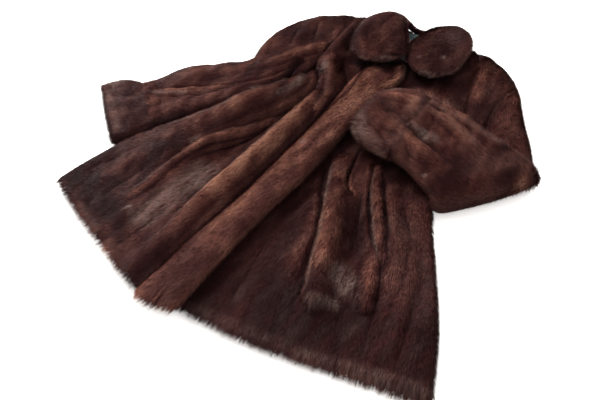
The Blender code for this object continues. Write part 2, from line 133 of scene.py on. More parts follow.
FUZZ, FUZZ_SLOPE = 16.0, 1.3  # degrees that hair stands off where the hide turns down, and how soon
EDGE_FINENESS = 0.35  # how much thinner the hair is at an edge
EDGE_LIGHT = 0.40  # painted light: how much lighter the hair is made there
EDGE_FULLNESS = 0.9  # how much closer it stands there
EDGE_RISE, EDGE_RANGE = 0.8, 0.45  # rise of the hide's direction at which an edge starts, to full
EDGE_AIR = (2, 0.3)  # an edge shows in open air only
OVERHANG = 0.72  # how much hair at an edge goes on along its way instead of turning down
TINY = 1e-9  # keeps a division from failing

# painted light and shade in the hair's brightness: lighter on crests and in open air, darker in troughs,
# sharp valleys and shut-in places
RELIEF_SHADING, RELIEF_SHADING_LIMITS = 32.0, (0.40, 1.40)  # painted light on crests and painted shade in troughs: gain per metre that a crease lifts the hair; least and most
# painted shade in sharp valleys and painted light on sharp crests: change per unit of hollowness; least and
# most
HOLLOW_SHADING, HOLLOW_SHADING_LIMITS = 0.42, (0.10, 1.45)
SHUT_IN_SHADE_TONE, OPEN_AIR_LIGHT, AIR_POWER = 0.34, 0.63, 1.3  # painted shade where the hide is shut in: brightness when shut in, what open air adds, and how steeply
PELT_TONE, CLOUD_TONE = 0.17, 0.14  # how far the pelts and the clouds change it
BASE_SHEEN_AND_DUST, CLOUD_SHEEN_AND_DUST = 0.01, 0.035  # grey of painted sheen and dust everywhere, and more in the clouds
PATCH_BLOOM = (0.7, 0.3, 0.25, 1.1)  # a patch's grey of painted sheen and dust: even, by motes, by clouds, and at most
PATCH_TONE = (0.8, 0.3, 0.1)  # a patch's painted shade and light: even, by clouds, and the darkest that it leaves

Pair = tuple[float, float]
Triple = tuple[float, float, float]
Path = tuple[Pair, ...]
Stops = tuple[tuple[float, str], ...]
Array = np.ndarray
Material = bpy.types.Material
Object = bpy.types.Object
Socket = bpy.types.NodeSocket

log = logging.getLogger("mink_coat")


# ---------------------------------------------------------------- small helpers


def linear(hex_colour: str) -> tuple[float, float, float, float]:
    """Turn an sRGB hex colour to linear light.

    Args:
        hex_colour: six hex digits, with or without a leading hash.

    Returns:
        Red, green, blue and an alpha of one.
    """
    digits = hex_colour.lstrip("#")
    parts = [int(digits[i:i + 2], 16) / 255 for i in (0, 2, 4)]
    return (*(p / 12.92 if p <= 0.04045 else ((p + 0.055) / 1.055) ** 2.4 for p in parts), 1.0)


def bounded(values: Array) -> Array:
    """The values, held between 0 and 1."""
    return np.clip(values, 0, 1)


def unit(rows: Array, spare: float = 0.0) -> Array:
    """Rows turned to length one, with a spare length where a row may be empty."""
    return rows / (np.linalg.norm(rows, axis=1)[:, None] + spare)


def rows_of(items: bpy.types.bpy_prop_collection, attribute: str, kind: type = np.float32) -> Array:
    """Read an attribute of a mesh's vertices or triangles.

    Args:
        items: the vertices, normals or triangles.
        attribute: its name.
        kind: the numbers' type.

    Returns:
        Rows of three numbers.
    """
    found = np.empty(len(items) * 3, kind)
    items.foreach_get(attribute, found)
    return found.reshape(-1, 3)


def search_tree(points: Array) -> KDTree:
    """Make a tree that finds the nearest point.

    Args:
        points: positions, one row each.

    Returns:
        The tree, in which each point goes by the number of its row.
    """
    tree = KDTree(len(points))
    for number, point in enumerate(points):
        tree.insert(point, number)
    tree.balance()
    return tree


def placed(name: str, data: bpy.types.ID) -> Object:
    """Make an object and put it in the scene.

    Args:
        name: its name.
        data: its mesh, light or camera.

    Returns:
        The new object.
    """
    made = bpy.data.objects.new(name, data)
    bpy.context.scene.collection.objects.link(made)
    return made


def joined_quads(source: Object, bend: float, shape: float) -> bmesh.types.BMesh:
    """Take a CAD solid's mesh and join its triangles to faces with four sides.

    Args:
        source: the CAD node's object.
        bend: most radians between two triangles that are joined.
        shape: how far from square a joined face may be, in radians.

    Returns:
        The mesh to work on.
    """
    shell = bmesh.new()
    shell.from_mesh(source.data)
    bmesh.ops.remove_doubles(shell, verts=shell.verts, dist=WELD)
    bmesh.ops.join_triangles(shell, faces=shell.faces, angle_face_threshold=bend,
                             angle_shape_threshold=shape)
    return shell


def finished_mesh(shell: bmesh.types.BMesh, name: str) -> bpy.types.Mesh:
    """Turn a worked mesh to mesh data, and free it.

    Args:
        shell: the worked mesh.
        name: the mesh data's name.

    Returns:
        The mesh data.
    """
    mesh = bpy.data.meshes.new(name)
    shell.to_mesh(mesh)
    shell.free()
    return mesh


# ---------------------------------------------------------------- finishes


class Tree:
    """The node tree of a new material, to which nodes are added."""

    def __init__(self, name: str) -> None:
        """Make the material, with an empty tree but for its output.

        Args:
            name: the material's name.
        """
        self.material = bpy.data.materials.new(name)
        self.material.use_nodes = True
        self.nodes, self.links = self.material.node_tree.nodes, self.material.node_tree.links
        self.nodes.clear()
        self.surface = self.node("OutputMaterial").inputs["Surface"]

    def node(self, kind: str, settings: dict | None = None, feeds: dict | None = None) -> bpy.types.Node:
        """Add one node, set it up and link its inputs.

        Args:
            kind: the node's type, without the ShaderNode that it starts with.
            settings: property names, or input names or numbers, with their values.
            feeds: input names or numbers, each with the output socket that feeds it.

        Returns:
            The new node.
        """
        node = self.nodes.new("ShaderNode" + kind)
        for key, value in (settings or {}).items():
            if isinstance(key, str) and hasattr(node, key):
                setattr(node, key, value)
            else:
                node.inputs[key].default_value = value
        for key, socket in (feeds or {}).items():
            self.links.new(socket, node.inputs[key])
        return node

    def add(self, kind: str, out: str | int, settings: dict | None = None,
            feeds: dict | None = None) -> Socket:
        """Add one node as node() does, and give its output of that name or number."""
        return self.node(kind, settings, feeds).outputs[out]

    def mix(self, factor: Socket, first: Socket | str, second: Socket | str) -> Socket:
        """Mix two colours.

        Args:
            factor: the socket with the second colour's share.
            first: a socket or an sRGB hex colour.
            second: the same.

        Returns:
            The mixed colour.
        """
        settings, feeds = {"data_type": "RGBA"}, {0: factor}
        for key, colour in ((6, first), (7, second)):
            if isinstance(colour, str):
                settings[key] = linear(colour)
            else:
                feeds[key] = colour
        return self.add("Mix", 2, settings, feeds)

    def ramp(self, factor: Socket, stops: Stops) -> Socket:
        """Add a colour ramp.

        Args:
            factor: the socket that drives it.
            stops: places from 0 to 1, each with its sRGB hex colour.

        Returns:
            The ramp's colour.
        """
        ramp = self.node("ValToRGB", feeds={"Fac": factor})
        elements = ramp.color_ramp.elements
        while len(elements) < len(stops):
            elements.new(0.5)
        for element, (place, colour) in zip(elements, stops):
            element.position = place
            element.color = linear(colour)
        return ramp.outputs["Color"]

    def shaded(self, settings: dict, feeds: dict) -> Material:
        """Add the shader of the surface, which ends the tree, and give the material."""
        self.links.new(self.add("BsdfPrincipled", 0, settings, feeds), self.surface)
        return self.material


@dataclass(frozen=True)
class GuardHair:
    """Ranch mink, plum-black to reddish brown by its tone, which carries painted shade in the hollows and
    painted light on the crests, greyed by painted sheen with some dust.
    """

    name: str = "mink_guard_hair"
    shades: Stops = (
        (0.0, "#13080a"), (0.25, "#301818"), (0.50, "#5a352e"), (0.75, "#875848"), (1.0, "#b0876f"))
    # colour of the grey that is mixed in: painted sheen, with some dust
    sheen_and_dust: str = "#8a736c"
    root_share: float = 0.42  # brightness at a blade's root, against one at its tip
    roughness: float = 0.45
    gloss: float = 0.016

    def make(self) -> Material:
        """Build the material.

        Returns:
            A material that reads the blades' own attributes: tone, with its painted shade and light, a grey
            of painted sheen and dust, and root to tip.
        """
        tree = Tree(self.name)
        along, tone, sheen_and_dust = (tree.add("Attribute", "Fac", {"attribute_name": name})
                              for name in ("along", "tone", "sheen_and_dust"))
        length = tree.add("MapRange", "Result", {"To Min": self.root_share, "To Max": 1.0},
                          {"Value": along})
        shade = tree.add("Math", 0, {"operation": "MULTIPLY"}, {0: tone, 1: length})
        half = tree.add("Math", 0, {"operation": "MULTIPLY", 1: 0.5}, {0: shade})  # tones reach two
        # the grey of painted sheen and dust, laid over the brown
        sheen_colour = tree.add("VectorMath", "Vector", {"operation": "SCALE", 0: linear(self.sheen_and_dust)[:3]},
                         {"Scale": length})
        return tree.shaded({"Roughness": self.roughness, "Specular IOR Level": self.gloss, "IOR": 1.55},
                           {"Base Color": tree.mix(sheen_and_dust, tree.ramp(half, self.shades), sheen_colour)})


@dataclass(frozen=True)
class Patterned:
    """A finish in two close shades that a pattern mixes; each kind adds its own pattern."""

    name: str
    ground: str
    figure: str
    roughness: float
    specular: float = 0.5
    relief: Pair = (0.0, 0.0)  # strength of the pattern's bump, and its depth in metres
    glow: float = 0.0

    def pattern(self, tree: Tree, place: Socket) -> tuple[Socket, Socket]:
        """Add the pattern's nodes.

        Args:
            tree: the material's tree.
            place: where a point lies on the piece.

        Returns:
            What mixes the two shades, and the height that the bump reads.
        """
        raise NotImplementedError

    def make(self) -> Material:
        """Build the material.

        Returns:
            A material with the pattern in its colour, and in its bump where it has one.
        """
        tree = Tree(self.name)
        factor, height = self.pattern(tree, tree.add("TexCoord", "Object"))
        settings = {"Roughness": self.roughness, "Specular IOR Level": self.specular}
        feeds = {"Base Color": tree.mix(factor, self.ground, self.figure)}
        if self.glow:
            settings |= {"Emission Color": (1.0, 0.99, 0.97, 1.0), "Emission Strength": self.glow}
        if any(self.relief):
            strength, depth = self.relief
            feeds["Normal"] = tree.add("Bump", "Normal", {"Strength": strength, "Distance": depth},
                                       {"Height": height})
        return tree.shaded(settings, feeds)


@dataclass(frozen=True)
class MinkHide(Patterned):
    """The dense underfur at the roots of the hair, combed in fine streaks down the coat: matt, its own dark
    made darker as painted shade between the hairs.
    """

    name: str = "mink_pelt"
    # dark plum: painted shade where the hide shows between the hairs
    ground: str = "#12080a"
    figure: str = "#2a1412"
    roughness: float = 0.85
    specular: float = 0.05
    relief: Pair = (0.6, 0.0012)
    streak: float = 0.0016  # metres, one lock of hair across

    def pattern(self, tree: Tree, place: Socket) -> tuple[Socket, Socket]:
        """Streaks that run along Y; see Patterned."""
        stretch = tree.add("Mapping", "Vector", {"Scale": (1.0, 0.16, 1.0)}, {"Vector": place})
        streaks = tree.add("TexNoise", "Fac", {"Scale": 0.5 / self.streak, "Detail": 3.0, "Roughness": 0.6},
                           {"Vector": stretch})
        return streaks, streaks


@dataclass(frozen=True)
class SatinLining(Patterned):
    """Grey lining satin: warp-faced, so it shines softly across fine vertical threads."""

    name: str = "lining_satin"
    ground: str = "#3b3835"
    figure: str = "#5f5a55"
    roughness: float = 0.60
    specular: float = 0.15
    relief: Pair = (0.25, 0.0002)
    thread: float = 0.0005  # metres between threads, drawn coarser than real so that it shows

    def pattern(self, tree: Tree, place: Socket) -> tuple[Socket, Socket]:
        """Fine threads with soft patches between them; see Patterned."""
        warp = tree.add("TexWave", "Fac", {"Scale": 1 / (2 * math.pi * self.thread), "Distortion": 0.6,
                                           "Detail": 1.0}, {"Vector": place})
        patches = tree.add("TexNoise", "Fac", {"Scale": 30.0, "Detail": 2.0}, {"Vector": place})
        return tree.add("Math", 0, {"operation": "MULTIPLY_ADD", 1: 0.35}, {0: warp, 2: patches}), warp


@dataclass(frozen=True)
class WovenLabel(Patterned):
    """A plain weave of dark thread in two close shades, left bare."""

    name: str = "label_damask"
    ground: str = "#232b2d"
    figure: str = "#3d494b"
    roughness: float = 0.7
    specular: float = 0.12
    relief: Pair = (0.4, 0.0002)
    thread: float = 0.0006

    def pattern(self, tree: Tree, place: Socket) -> tuple[Socket, Socket]:
        """Rows of thread across; see Patterned."""
        rows = tree.add("TexWave", "Fac", {"bands_direction": "Y", "Scale": 1 / (2 * math.pi * self.thread),
                                           "Distortion": 0.3}, {"Vector": place})
        return rows, rows


@dataclass(frozen=True)
class WhiteBoard(Patterned):
    """A matt white table board, with the faint mottling of paint."""

    name: str = "painted_board"
    ground: str = "#fdfcfa"
    figure: str = "#f8f6f3"
    roughness: float = 0.9
    glow: float = 0.44  # lifts the shadows, as an overexposed white does

    def pattern(self, tree: Tree, place: Socket) -> tuple[Socket, Socket]:
        """Broad, faint clouds; see Patterned."""
        mottle = tree.add("TexNoise", "Fac", {"Scale": 6.0}, {"Vector": place})
        return mottle, mottle


# ---------------------------------------------------------------- shapes laid in


@dataclass(frozen=True)
class Crease:
    """A soft ridge along a curve over the floor plan, or a trough where its rise is negative.

    The curves run down the coat, so the left flank faces the wearer's left, which is +X.
    """

    path: Path
    rise: Triple  # at its start, middle and end
    right: Pair  # width of the right flank at its start and end
    left: Pair  # width of the left flank
    flank_sheen: float = 0.0  # painted grey sheen where the hair turns over the right flank

    def curve(self) -> Array:
        """Draw a smooth curve through the path.

        Returns:
            Its points, the same number between every two places of the path.
        """
        rows = np.array(self.path)
        found = []
        for place in np.linspace(0, len(rows) - 1, CREASE_STEPS):
            row = min(int(place), len(rows) - 2)
            t = place - row
            before, start, end, after = (rows[min(max(row + k, 0), len(rows) - 1)] for k in (-1, 0, 1, 2))
            found.append(0.5 * (2 * start + (end - before) * t
                                + (2 * before - 5 * start + 4 * end - after) * t**2
                                + (3 * start - before - 3 * end + after) * t**3))
        return np.array(found)

    def near(self, places: Array) -> Array:
        """Find the places that the crease can reach.

        Args:
            places: plan positions, one row each.

        Returns:
            The numbers of their rows.
        """
        rows, reach = np.array(self.path), max(self.right + self.left) * CREASE_MARGIN
        inside = (places > rows.min(0) - reach) & (places < rows.max(0) + reach)
        return np.flatnonzero(inside.all(1))

    def spot(self, places: Array) -> tuple[Array, Array, Array]:
        """Where places lie on the crease.

        Args:
            places: plan positions, one row each.

        Returns:
            How far out each place is on its flank, how far along it is, both from 0 to 1, and
            how far it is to the left in metres.
        """
        line, last = self.curve(), CREASE_STEPS - 1
        steps = np.gradient(line, axis=0)
        pace = np.linalg.norm(steps, axis=1)
        offsets = places[:, None] - line[None]
        nearest = (offsets**2).sum(2).argmin(1)
        run = steps[nearest] / pace[nearest, None]
        aside = offsets[np.arange(len(places)), nearest]
        ahead = (aside * run).sum(1)
        off = run[:, 0] * aside[:, 1] - run[:, 1] * aside[:, 0]
        past = np.where(nearest == 0, np.minimum(ahead, 0),
                        np.where(nearest == last, np.maximum(ahead, 0), 0))
        along = bounded((nearest + ahead / pace[nearest]) / last)
        flank = np.where(off > 0, *(np.interp(along, (0, 1), width) for width in (self.left, self.right)))
        return bounded(np.hypot(off, past) / flank), along, off

    def lift(self, places: Array) -> Array:
        """Find how far the crease lifts the cloth.

        Args:
            places: plan positions, one row each.

        Returns:
            Metres at each place, negative in a trough and zero away from the crease.
        """
        reach, along, _ = self.spot(places)
        rise = np.interp(along, (0, 0.5, 1), self.rise)
        return rise * np.where(rise < 0, (1 - reach) ** TROUGH_POWER, (1 - reach**2) ** RIDGE_POWER)

    def sheen_on_flank(self, places: Array) -> Array:
        """Find the painted grey sheen on the crease's right flank.

        Args:
            places: plan positions, one row each.

        Returns:
            The painted sheen at each place.
        """
        reach, along, off = self.spot(places)
        ends = np.interp(along, SHEEN_ENDS, (0, 1, 1, 0))
        return self.flank_sheen * ends * (off < 0) * np.exp(-(((reach - SHEEN_PLACE) / SHEEN_WIDTH) ** 2))


@dataclass(frozen=True)
class Sweep:
    """Which way the hair lies at a place, as a direction over the floor plan."""

    place: Triple
    heading: Pair


@dataclass(frozen=True)
class Patch:
    """A streak where the hair gets painted shade or painted light, and a grey of painted sheen with some
    dust.
    """

    start: Pair
    end: Pair
    radius: float
    sheen_and_dust: float = 0.0
    tone: float = 0.0

    def share(self, places: Array) -> Array:
        """Find how much places belong to the streak.

        Args:
            places: plan positions, one row each.

        Returns:
            From 0 to 1 for each place.
        """
        start, run = np.array(self.start), np.subtract(self.end, self.start)
        along = bounded(((places - start) @ run) / max(run @ run, TINY))
        distance = np.linalg.norm(places - start - along[:, None] * run, axis=1) / self.radius
        return bounded(PATCH_EDGE - distance)


@dataclass(frozen=True)
class Hair:
    """One kind of hair of the pile."""

    name: str
    length: float
    width: float
    lift: float  # degrees that it stands off the hide
    stray: float  # degrees of random turn
    share: float  # of the blades
    tone: float  # brightness


class Pile(Enum):
    """The two kinds of hair that a mink pelt carries."""

    UNDERFUR = Hair("underfur", 0.0078, 0.0013, 22.0, 9.0, 0.48, 0.68)
    GUARD = Hair("guard_hair", 0.0125, 0.00085, 13.0, 5.0, 0.52, 1.0)


class Waves(Enum):
    """Smooth random waves, the same in every run: their size, their draw and their stretch along Y."""

    SWELLS = (0.048, 0, 1.9)
    DIMPLES = (0.021, 50, 2.0)
    PELTS = (0.070, 7, 4.0)
    CLOUDS = (0.030, 21, 2.0)
    MOTES = (0.008, 33, 2.0)

    def at(self, points: Array, seed: int, count: int = 14) -> Array:
        """The waves' height at places, mostly from -1 to 1.

        Args:
            points: positions, one row each.
            seed: number that fixes the draw, together with the waves' own.
            count: how many waves are added up.

        Returns:
            One height for each place.
        """
        size, draw, stretch = self.value
        rng = np.random.default_rng(draw + seed)
        ways = unit(rng.normal(size=(count, 3)))
        sizes = size * rng.uniform(0.7, 1.5, (count, 1))
        waves = ways * (2 * math.pi / sizes) / np.array((1.0, stretch, 1.0))
        phases = rng.uniform(0, 2 * math.pi, count)
        return np.sin(points @ waves.T + phases).sum(1) / math.sqrt(count)


# ---------------------------------------------------------------- the fur pieces


@dataclass
class FurPiece:
    """One cut and sewn piece of fur: its hide, its creases and the way its hair lies."""

    node: str
    cut: Pair  # width and length of the flat cut
    cut_area: float
    held: str
    rests_on: tuple[str, ...]
    sweeps: tuple[Sweep, ...]
    creases: tuple[Crease, ...] = ()
    patches: tuple[Patch, ...] = ()
    joins: tuple[str, ...] = ()  # the pieces at whose seams the fur runs on
    slot: str = "mink"
    seed: int = 1
    firmness: float = 0.35  # how well the shell's edges keep the solid's corners
    lumps: float = 0.0011  # height of the soft swells between the creases
    rim_sheen: float = 0.09  # painted grey sheen where the fur turns over an edge
    fringe: float = 0.16  # how much longer the hair is at an edge
    light: float = 1.0  # painted light and shade: brightness of the whole piece
    hide: Object | None = field(default=None, init=False)
    shell: tuple[Array, Array] | None = field(default=None, init=False)  # before the creases
    give: Array | None = field(default=None, init=False)  # how far the creases may move each vertex
    sky: Array | None = field(default=None, init=False)  # open air over each vertex

    def build_hide(self, source: Object) -> None:
        """Make the hide as a smooth shell on its CAD solid.

        Args:
            source: the CAD node's object.
        """
        shell = joined_quads(source, bend=CORNER, shape=2.5)
        firm = shell.edges.layers.float.new("crease_edge")
        for edge in shell.edges:
            if edge.calc_face_angle(0) > CORNER:
                edge[firm] = self.firmness
        name = self.node + "_hide"
        mesh = finished_mesh(shell, name)
        rough = placed(self.node + "_rough", mesh)
        smooth = rough.modifiers.new("smooth", "SUBSURF")
        smooth.levels = smooth.render_levels = SHELL_LEVELS
        smooth.use_limit_surface = False
        made = bpy.data.meshes.new_from_object(rough.evaluated_get(bpy.context.evaluated_depsgraph_get()))
        bpy.data.objects.remove(rough, do_unlink=True)
        bpy.data.meshes.remove(mesh)
        made.name = name
        self.hide = placed(name, made)
        self.shell = self.points(), self.normals()

    def points(self) -> Array:
        """The hide's vertex positions, one row each."""
        return rows_of(self.hide.data.vertices, "co").astype(float)

    def normals(self) -> Array:
        """The hide's vertex normals, one row each."""
        return rows_of(self.hide.data.vertex_normals, "vector").astype(float)

    def triangles(self) -> Array:
        """The hide's triangles as rows of three vertex numbers."""
        self.hide.data.calc_loop_triangles()
        return rows_of(self.hide.data.loop_triangles, "vertices", np.int32)

    def relief(self, places: Array) -> Array:
        """Find the height that the creases and the soft swells add.

        Args:
            places: plan positions, one row each.

        Returns:
            Metres at each place.
        """
        ridges, troughs = np.zeros((2, len(places)))
        for crease in self.creases:
            near = crease.near(places)
            if len(near):
                lift = crease.lift(places[near])
                ridges[near] += np.maximum(lift, 0) ** RIDGE_BLEND
                troughs[near] = np.minimum(troughs[near], lift)
        level = np.column_stack([places, np.zeros(len(places))])
        swells = Waves.SWELLS.at(level, self.seed) + DIMPLE_SHARE * Waves.DIMPLES.at(level, self.seed)
        return ridges ** (1 / RIDGE_BLEND) + troughs + self.lumps * swells

    def relief_beside(self, places: Array) -> list[Array]:
        """The relief a step to the east, west, north and south of plan positions."""
        ways = ((1, 0), (-1, 0), (0, 1), (0, -1))
        return [self.relief(places + np.array(way) * RELIEF_STEP) for way in ways]

    def laid(self, points: Array, normals: Array, give: Array) -> tuple[Array, Array, Array, Array]:
        """Move places of the bare shell to where they lie on the creased hide.

        Args:
            points: positions on the shell, one row each.
            normals: the shell's directions there.
            give: how far the creases may move each place, from 0 to 1.

        Returns:
            Positions and directions on the hide, how hollow the hide is at each place, which is
            about 1 in a sharp valley and negative on a crest, and how far the creases lift it.
        """
        plan = points[:, :2]
        middle = self.relief(plan)
        east, west, north, south = self.relief_beside(plan)
        slope = np.column_stack([east - west, north - south, np.zeros(len(plan))]) / (2 * RELIEF_STEP)
        hollow = ((east + west + north + south) / 4 - middle) / HOLLOW_DEPTH
        turned = unit(normals - np.maximum(normals[:, 2], 0)[:, None] * slope * give[:, None])
        moved = points + np.outer(middle * give, (0, 0, 1))
        depth = PILE_DEPTH * bounded(turned[:, 2]) + SIDE_DEPTH * (1 - np.abs(turned[:, 2]))
        moved[:, 2] = np.maximum(moved[:, 2] - turned[:, 2] * depth, 0)
        return moved, turned, hollow * give, middle * give

    def lay_creases(self) -> None:
        """Lift and sink the open side of the hide along its creases, and keep it under the hair's roots."""
        points, normals = self.shell
        self.give = bounded(normals[:, 2] / FIRM_SLOPE) * bounded(self.sky * CREASE_AIR)
        moved = self.laid(points, normals, self.give)[0]
        plan = points[:, :2]
        below = np.min(self.relief_beside(plan), axis=0) - self.relief(plan)
        sunk = np.minimum(below, 0) * self.give * SINK
        moved[:, 2] = np.maximum(moved[:, 2] + sunk, np.minimum(moved[:, 2], PILE_DEPTH))
        self.hide.data.vertices.foreach_set("co", moved.astype(np.float32).ravel())
        self.hide.data.update()

    def look_up(self, tree: BVHTree) -> None:
        """Find how much open air each vertex of the hide has over it.

        Args:
            tree: all hides together.
        """
        self.sky = open_air(tree, self.points(), self.normals())

    def close_seams(self, others: dict[str, "FurPiece"]) -> None:
        """Let the fur run on over the seams where the piece is joined, as brushed fur does.

        Args:
            others: the fur pieces by their node.
        """
        if not self.joins:
            return
        points, normals = self.shell
        tops = np.flatnonzero((normals[:, 2] > LEVEL) & (self.sky > AIRY))
        tree = search_tree(points[tops])
        beside = joined_tree([others[name] for name in self.joins])
        for number in np.flatnonzero((normals[:, 2] > SEAM_RISE) & (points[:, 2] > PILE_DEPTH)):
            apart = beside.find_nearest(Vector(points[number]), SEAM_REACH)[3]
            if apart is None:
                continue
            share = min(SEAM_BLEND * (1 - apart / SEAM_REACH), 1)
            turned = normals[number] * (1 - share) + np.array((0, 0, 1)) * share
            normals[number] = turned / np.linalg.norm(turned)
            # more open air at the seam: more hair there, and less painted shade in its narrow gap
            self.sky[number] = max(self.sky[number], share * self.sky[tops[tree.find(points[number])[1]]])

    def headings(self, points: Array) -> Array:
        """The way that the hair lies, blended from the nearest sweeps.

        Args:
            points: positions, one row each.

        Returns:
            Level directions of length one.
        """
        places = np.array([sweep.place for sweep in self.sweeps])
        ways = unit(np.array([sweep.heading for sweep in self.sweeps], float))
        apart = (points[:, None] - places[None]) * (1, 1, LAYER_WEIGHT)
        weight = 1 / ((apart**2).sum(2) + SWEEP_CORE) ** SWEEP_POWER
        return np.column_stack([unit(weight @ ways), np.zeros(len(points))])

    def open_fur(self) -> Array:
        """Find how much of the hide grows hair.

        Returns:
            For each triangle, the part of its area that is open to the air.
        """
        points, corners = self.points(), self.triangles()
        a, b, c = (points[corners[:, k]] for k in range(3))
        area = np.linalg.norm(np.cross(b - a, c - a), axis=1) / 2
        up = self.normals()[corners].mean(1)[:, 2]
        aired = bounded(self.sky[corners].mean(1) * HAIR_AIR)
        return (area * aired * bounded((up - HAIR_FROM) / HAIR_RANGE)
                * (1 + EDGE_FULLNESS * np.clip(EDGE_RISE - up, 0, EDGE_RISE)))

    def grow(self, hair: Hair, count: int, finish: Material) -> Object:
        """Grow one kind of hair over the open side of the hide.

        Args:
            hair: the kind.
            count: how many blades.
            finish: the blades' material.

        Returns:
            The blades, joined in one mesh.
        """
        rng = np.random.default_rng(self.seed * 10 + len(hair.name))
        weight, corners = self.open_fur(), self.triangles()
        chosen = corners[np.sort(rng.choice(len(corners), count, p=weight / weight.sum()))]
        parts = rng.dirichlet((1, 1, 1), count)
        bare, facing = ((values[chosen] * parts[:, :, None]).sum(1) for values in self.shell)
        give, sky = ((values[chosen] * parts).sum(1) for values in (self.give, self.sky))
        root, normal, hollow, raised = self.laid(bare, unit(facing), give)
        heading = self.headings(root)
        outward = (heading * normal).sum(1)
        out = bounded(outward)
        lie = unit(heading - (outward * (1 - OVERHANG * out))[:, None] * normal, TINY)
        locks, lock_tone = self.locks(root, rng)
        turn = np.radians(rng.normal(0, hair.stray, count) + LOCK_TURN * locks[:, 0])
        lift = np.radians(hair.lift + rng.normal(0, hair.stray * LIFT_STRAY, count)
                          + LOCK_LIFT * locks[:, 1] + FUZZ * bounded(1 - FUZZ_SLOPE * normal[:, 2]))
        lift = np.clip(lift, *LIFTS)
        way = lie * np.cos(turn)[:, None] + np.cross(normal, lie) * np.sin(turn)[:, None]
        way = way * np.cos(lift)[:, None] + normal * np.sin(lift)[:, None]
        long = hair.length * rng.uniform(*LENGTHS, count) * (1 + self.fringe * out)
        tip = root + way * long[:, None]
        tip[:, 2] = np.maximum(tip[:, 2], FLOOR_CLEARANCE + TIP_SPREAD * rng.random(count))
        roll = np.radians(rng.normal(0, ROLL, count))
        flat = unit(np.cross(way, normal), TINY)
        edge = flat * np.cos(roll)[:, None] + np.cross(way, flat) * np.sin(roll)[:, None]
        half = (hair.width / 2 * rng.uniform(*WIDTHS, count) * (1 - EDGE_FINENESS * out))[:, None]
        foot = root - normal * ROOT_DEPTH
        foot[:, 2] = np.maximum(foot[:, 2], FLOOR_CLEARANCE)
        blades = np.stack([foot - edge * half, foot + edge * half, tip], 1)
        blades[:, :, 2] = np.maximum(blades[:, :, 2], LOWEST)
        tone, sheen_and_dust = self.shades(root, normal, hollow, raised, sky)
        tone *= hair.tone * (1 + LOCK_TONE * lock_tone + rng.normal(0, TONE_STRAY, count))
        sheen_and_dust *= 1 + rng.normal(0, BLOOM_STRAY, count)
        return blade_mesh(f"{self.node}_{hair.name}", blades, np.clip(tone, *TONES), bounded(sheen_and_dust), finish)

    def locks(self, root: Array, rng: np.random.Generator) -> tuple[Array, Array]:
        """Gather the hair into small locks that share a turn, a lift and a tone.

        Args:
            root: the blades' roots.
            rng: random numbers.

        Returns:
            For each blade its lock's turn and lift, and its lock's tone, each near -1 to 1.
        """
        step = max(len(root) // LOCKS, 1)
        centres = root[::step] + rng.normal(0, LOCK_SPREAD, (len(root[::step]), 3))
        tree = search_tree(centres)
        mine = np.fromiter((tree.find(place)[1] for place in root), int, len(root))
        return rng.normal(size=(len(centres), 2))[mine], rng.normal(size=len(centres))[mine]

    def shades(self, root: Array, normal: Array, hollow: Array, raised: Array,
               sky: Array) -> tuple[Array, Array]:
        """Tone and grey of each blade: the pelts' own unevenness, painted shade and light from the creases,
        the open air, the edges and the patches, and painted sheen.

        Args:
            root: the blades' roots.
            normal: the hide's directions there.
            hollow: how hollow the hide is there.
            raised: how far the creases lift it there.
            sky: open air over each blade.

        Returns:
            The tone, about one, with its painted shade and light, and the grey of painted sheen and dust,
            from zero to one.
        """
        kinds = (Waves.PELTS, Waves.CLOUDS, Waves.MOTES)
        pelts, clouds, motes = (kind.at(root, self.seed) for kind in kinds)
        plan = root[:, :2]
        # the piece's painted light and shade, with the pelts' and clouds' own unevenness
        tone = self.light * (1 + PELT_TONE * pelts + CLOUD_TONE * clouds)
        # painted shade where the hide is shut in and in troughs and sharp valleys, painted light on crests
        tone *= SHUT_IN_SHADE_TONE + OPEN_AIR_LIGHT * sky**AIR_POWER
        tone *= np.clip(1 + RELIEF_SHADING * raised, *RELIEF_SHADING_LIMITS)
        tone *= np.clip(1 - HOLLOW_SHADING * hollow, *HOLLOW_SHADING_LIMITS)
        # painted light and painted grey sheen where the fur turns over an edge in open air
        seen = bounded(sky * EDGE_AIR[0] - EDGE_AIR[1])
        edge = bounded((EDGE_RISE - normal[:, 2]) / EDGE_RANGE) * seen * bounded(1 - hollow)
        tone *= 1 + EDGE_LIGHT * edge
        sheen_and_dust = np.maximum(self.rim_sheen * edge, bounded(BASE_SHEEN_AND_DUST + CLOUD_SHEEN_AND_DUST * clouds))
        # painted grey sheen on the creases' right flanks
        for crease in self.creases:
            near = crease.near(plan) if crease.flank_sheen else np.array([], int)
            if len(near):
                sheen_and_dust[near] = np.maximum(sheen_and_dust[near], crease.sheen_on_flank(plan[near]) * bounded(2 * sky[near]))
        # the patches' painted grey sheen, with some dust, and their painted shade and light
        even, by_motes, by_clouds, most = PATCH_BLOOM
        patch_sheen_mottle = np.clip(even + by_motes * motes + by_clouds * clouds, 0, most)
        even, by_clouds, darkest = PATCH_TONE
        patch_shading_mottle = bounded(even + by_clouds * clouds)
        for patch in self.patches:
            share = patch.share(plan)
            sheen_and_dust = np.maximum(sheen_and_dust, patch.sheen_and_dust * share * patch_sheen_mottle)
            tone *= np.maximum(1 + patch.tone * share * patch_shading_mottle, darkest)
        return tone, sheen_and_dust

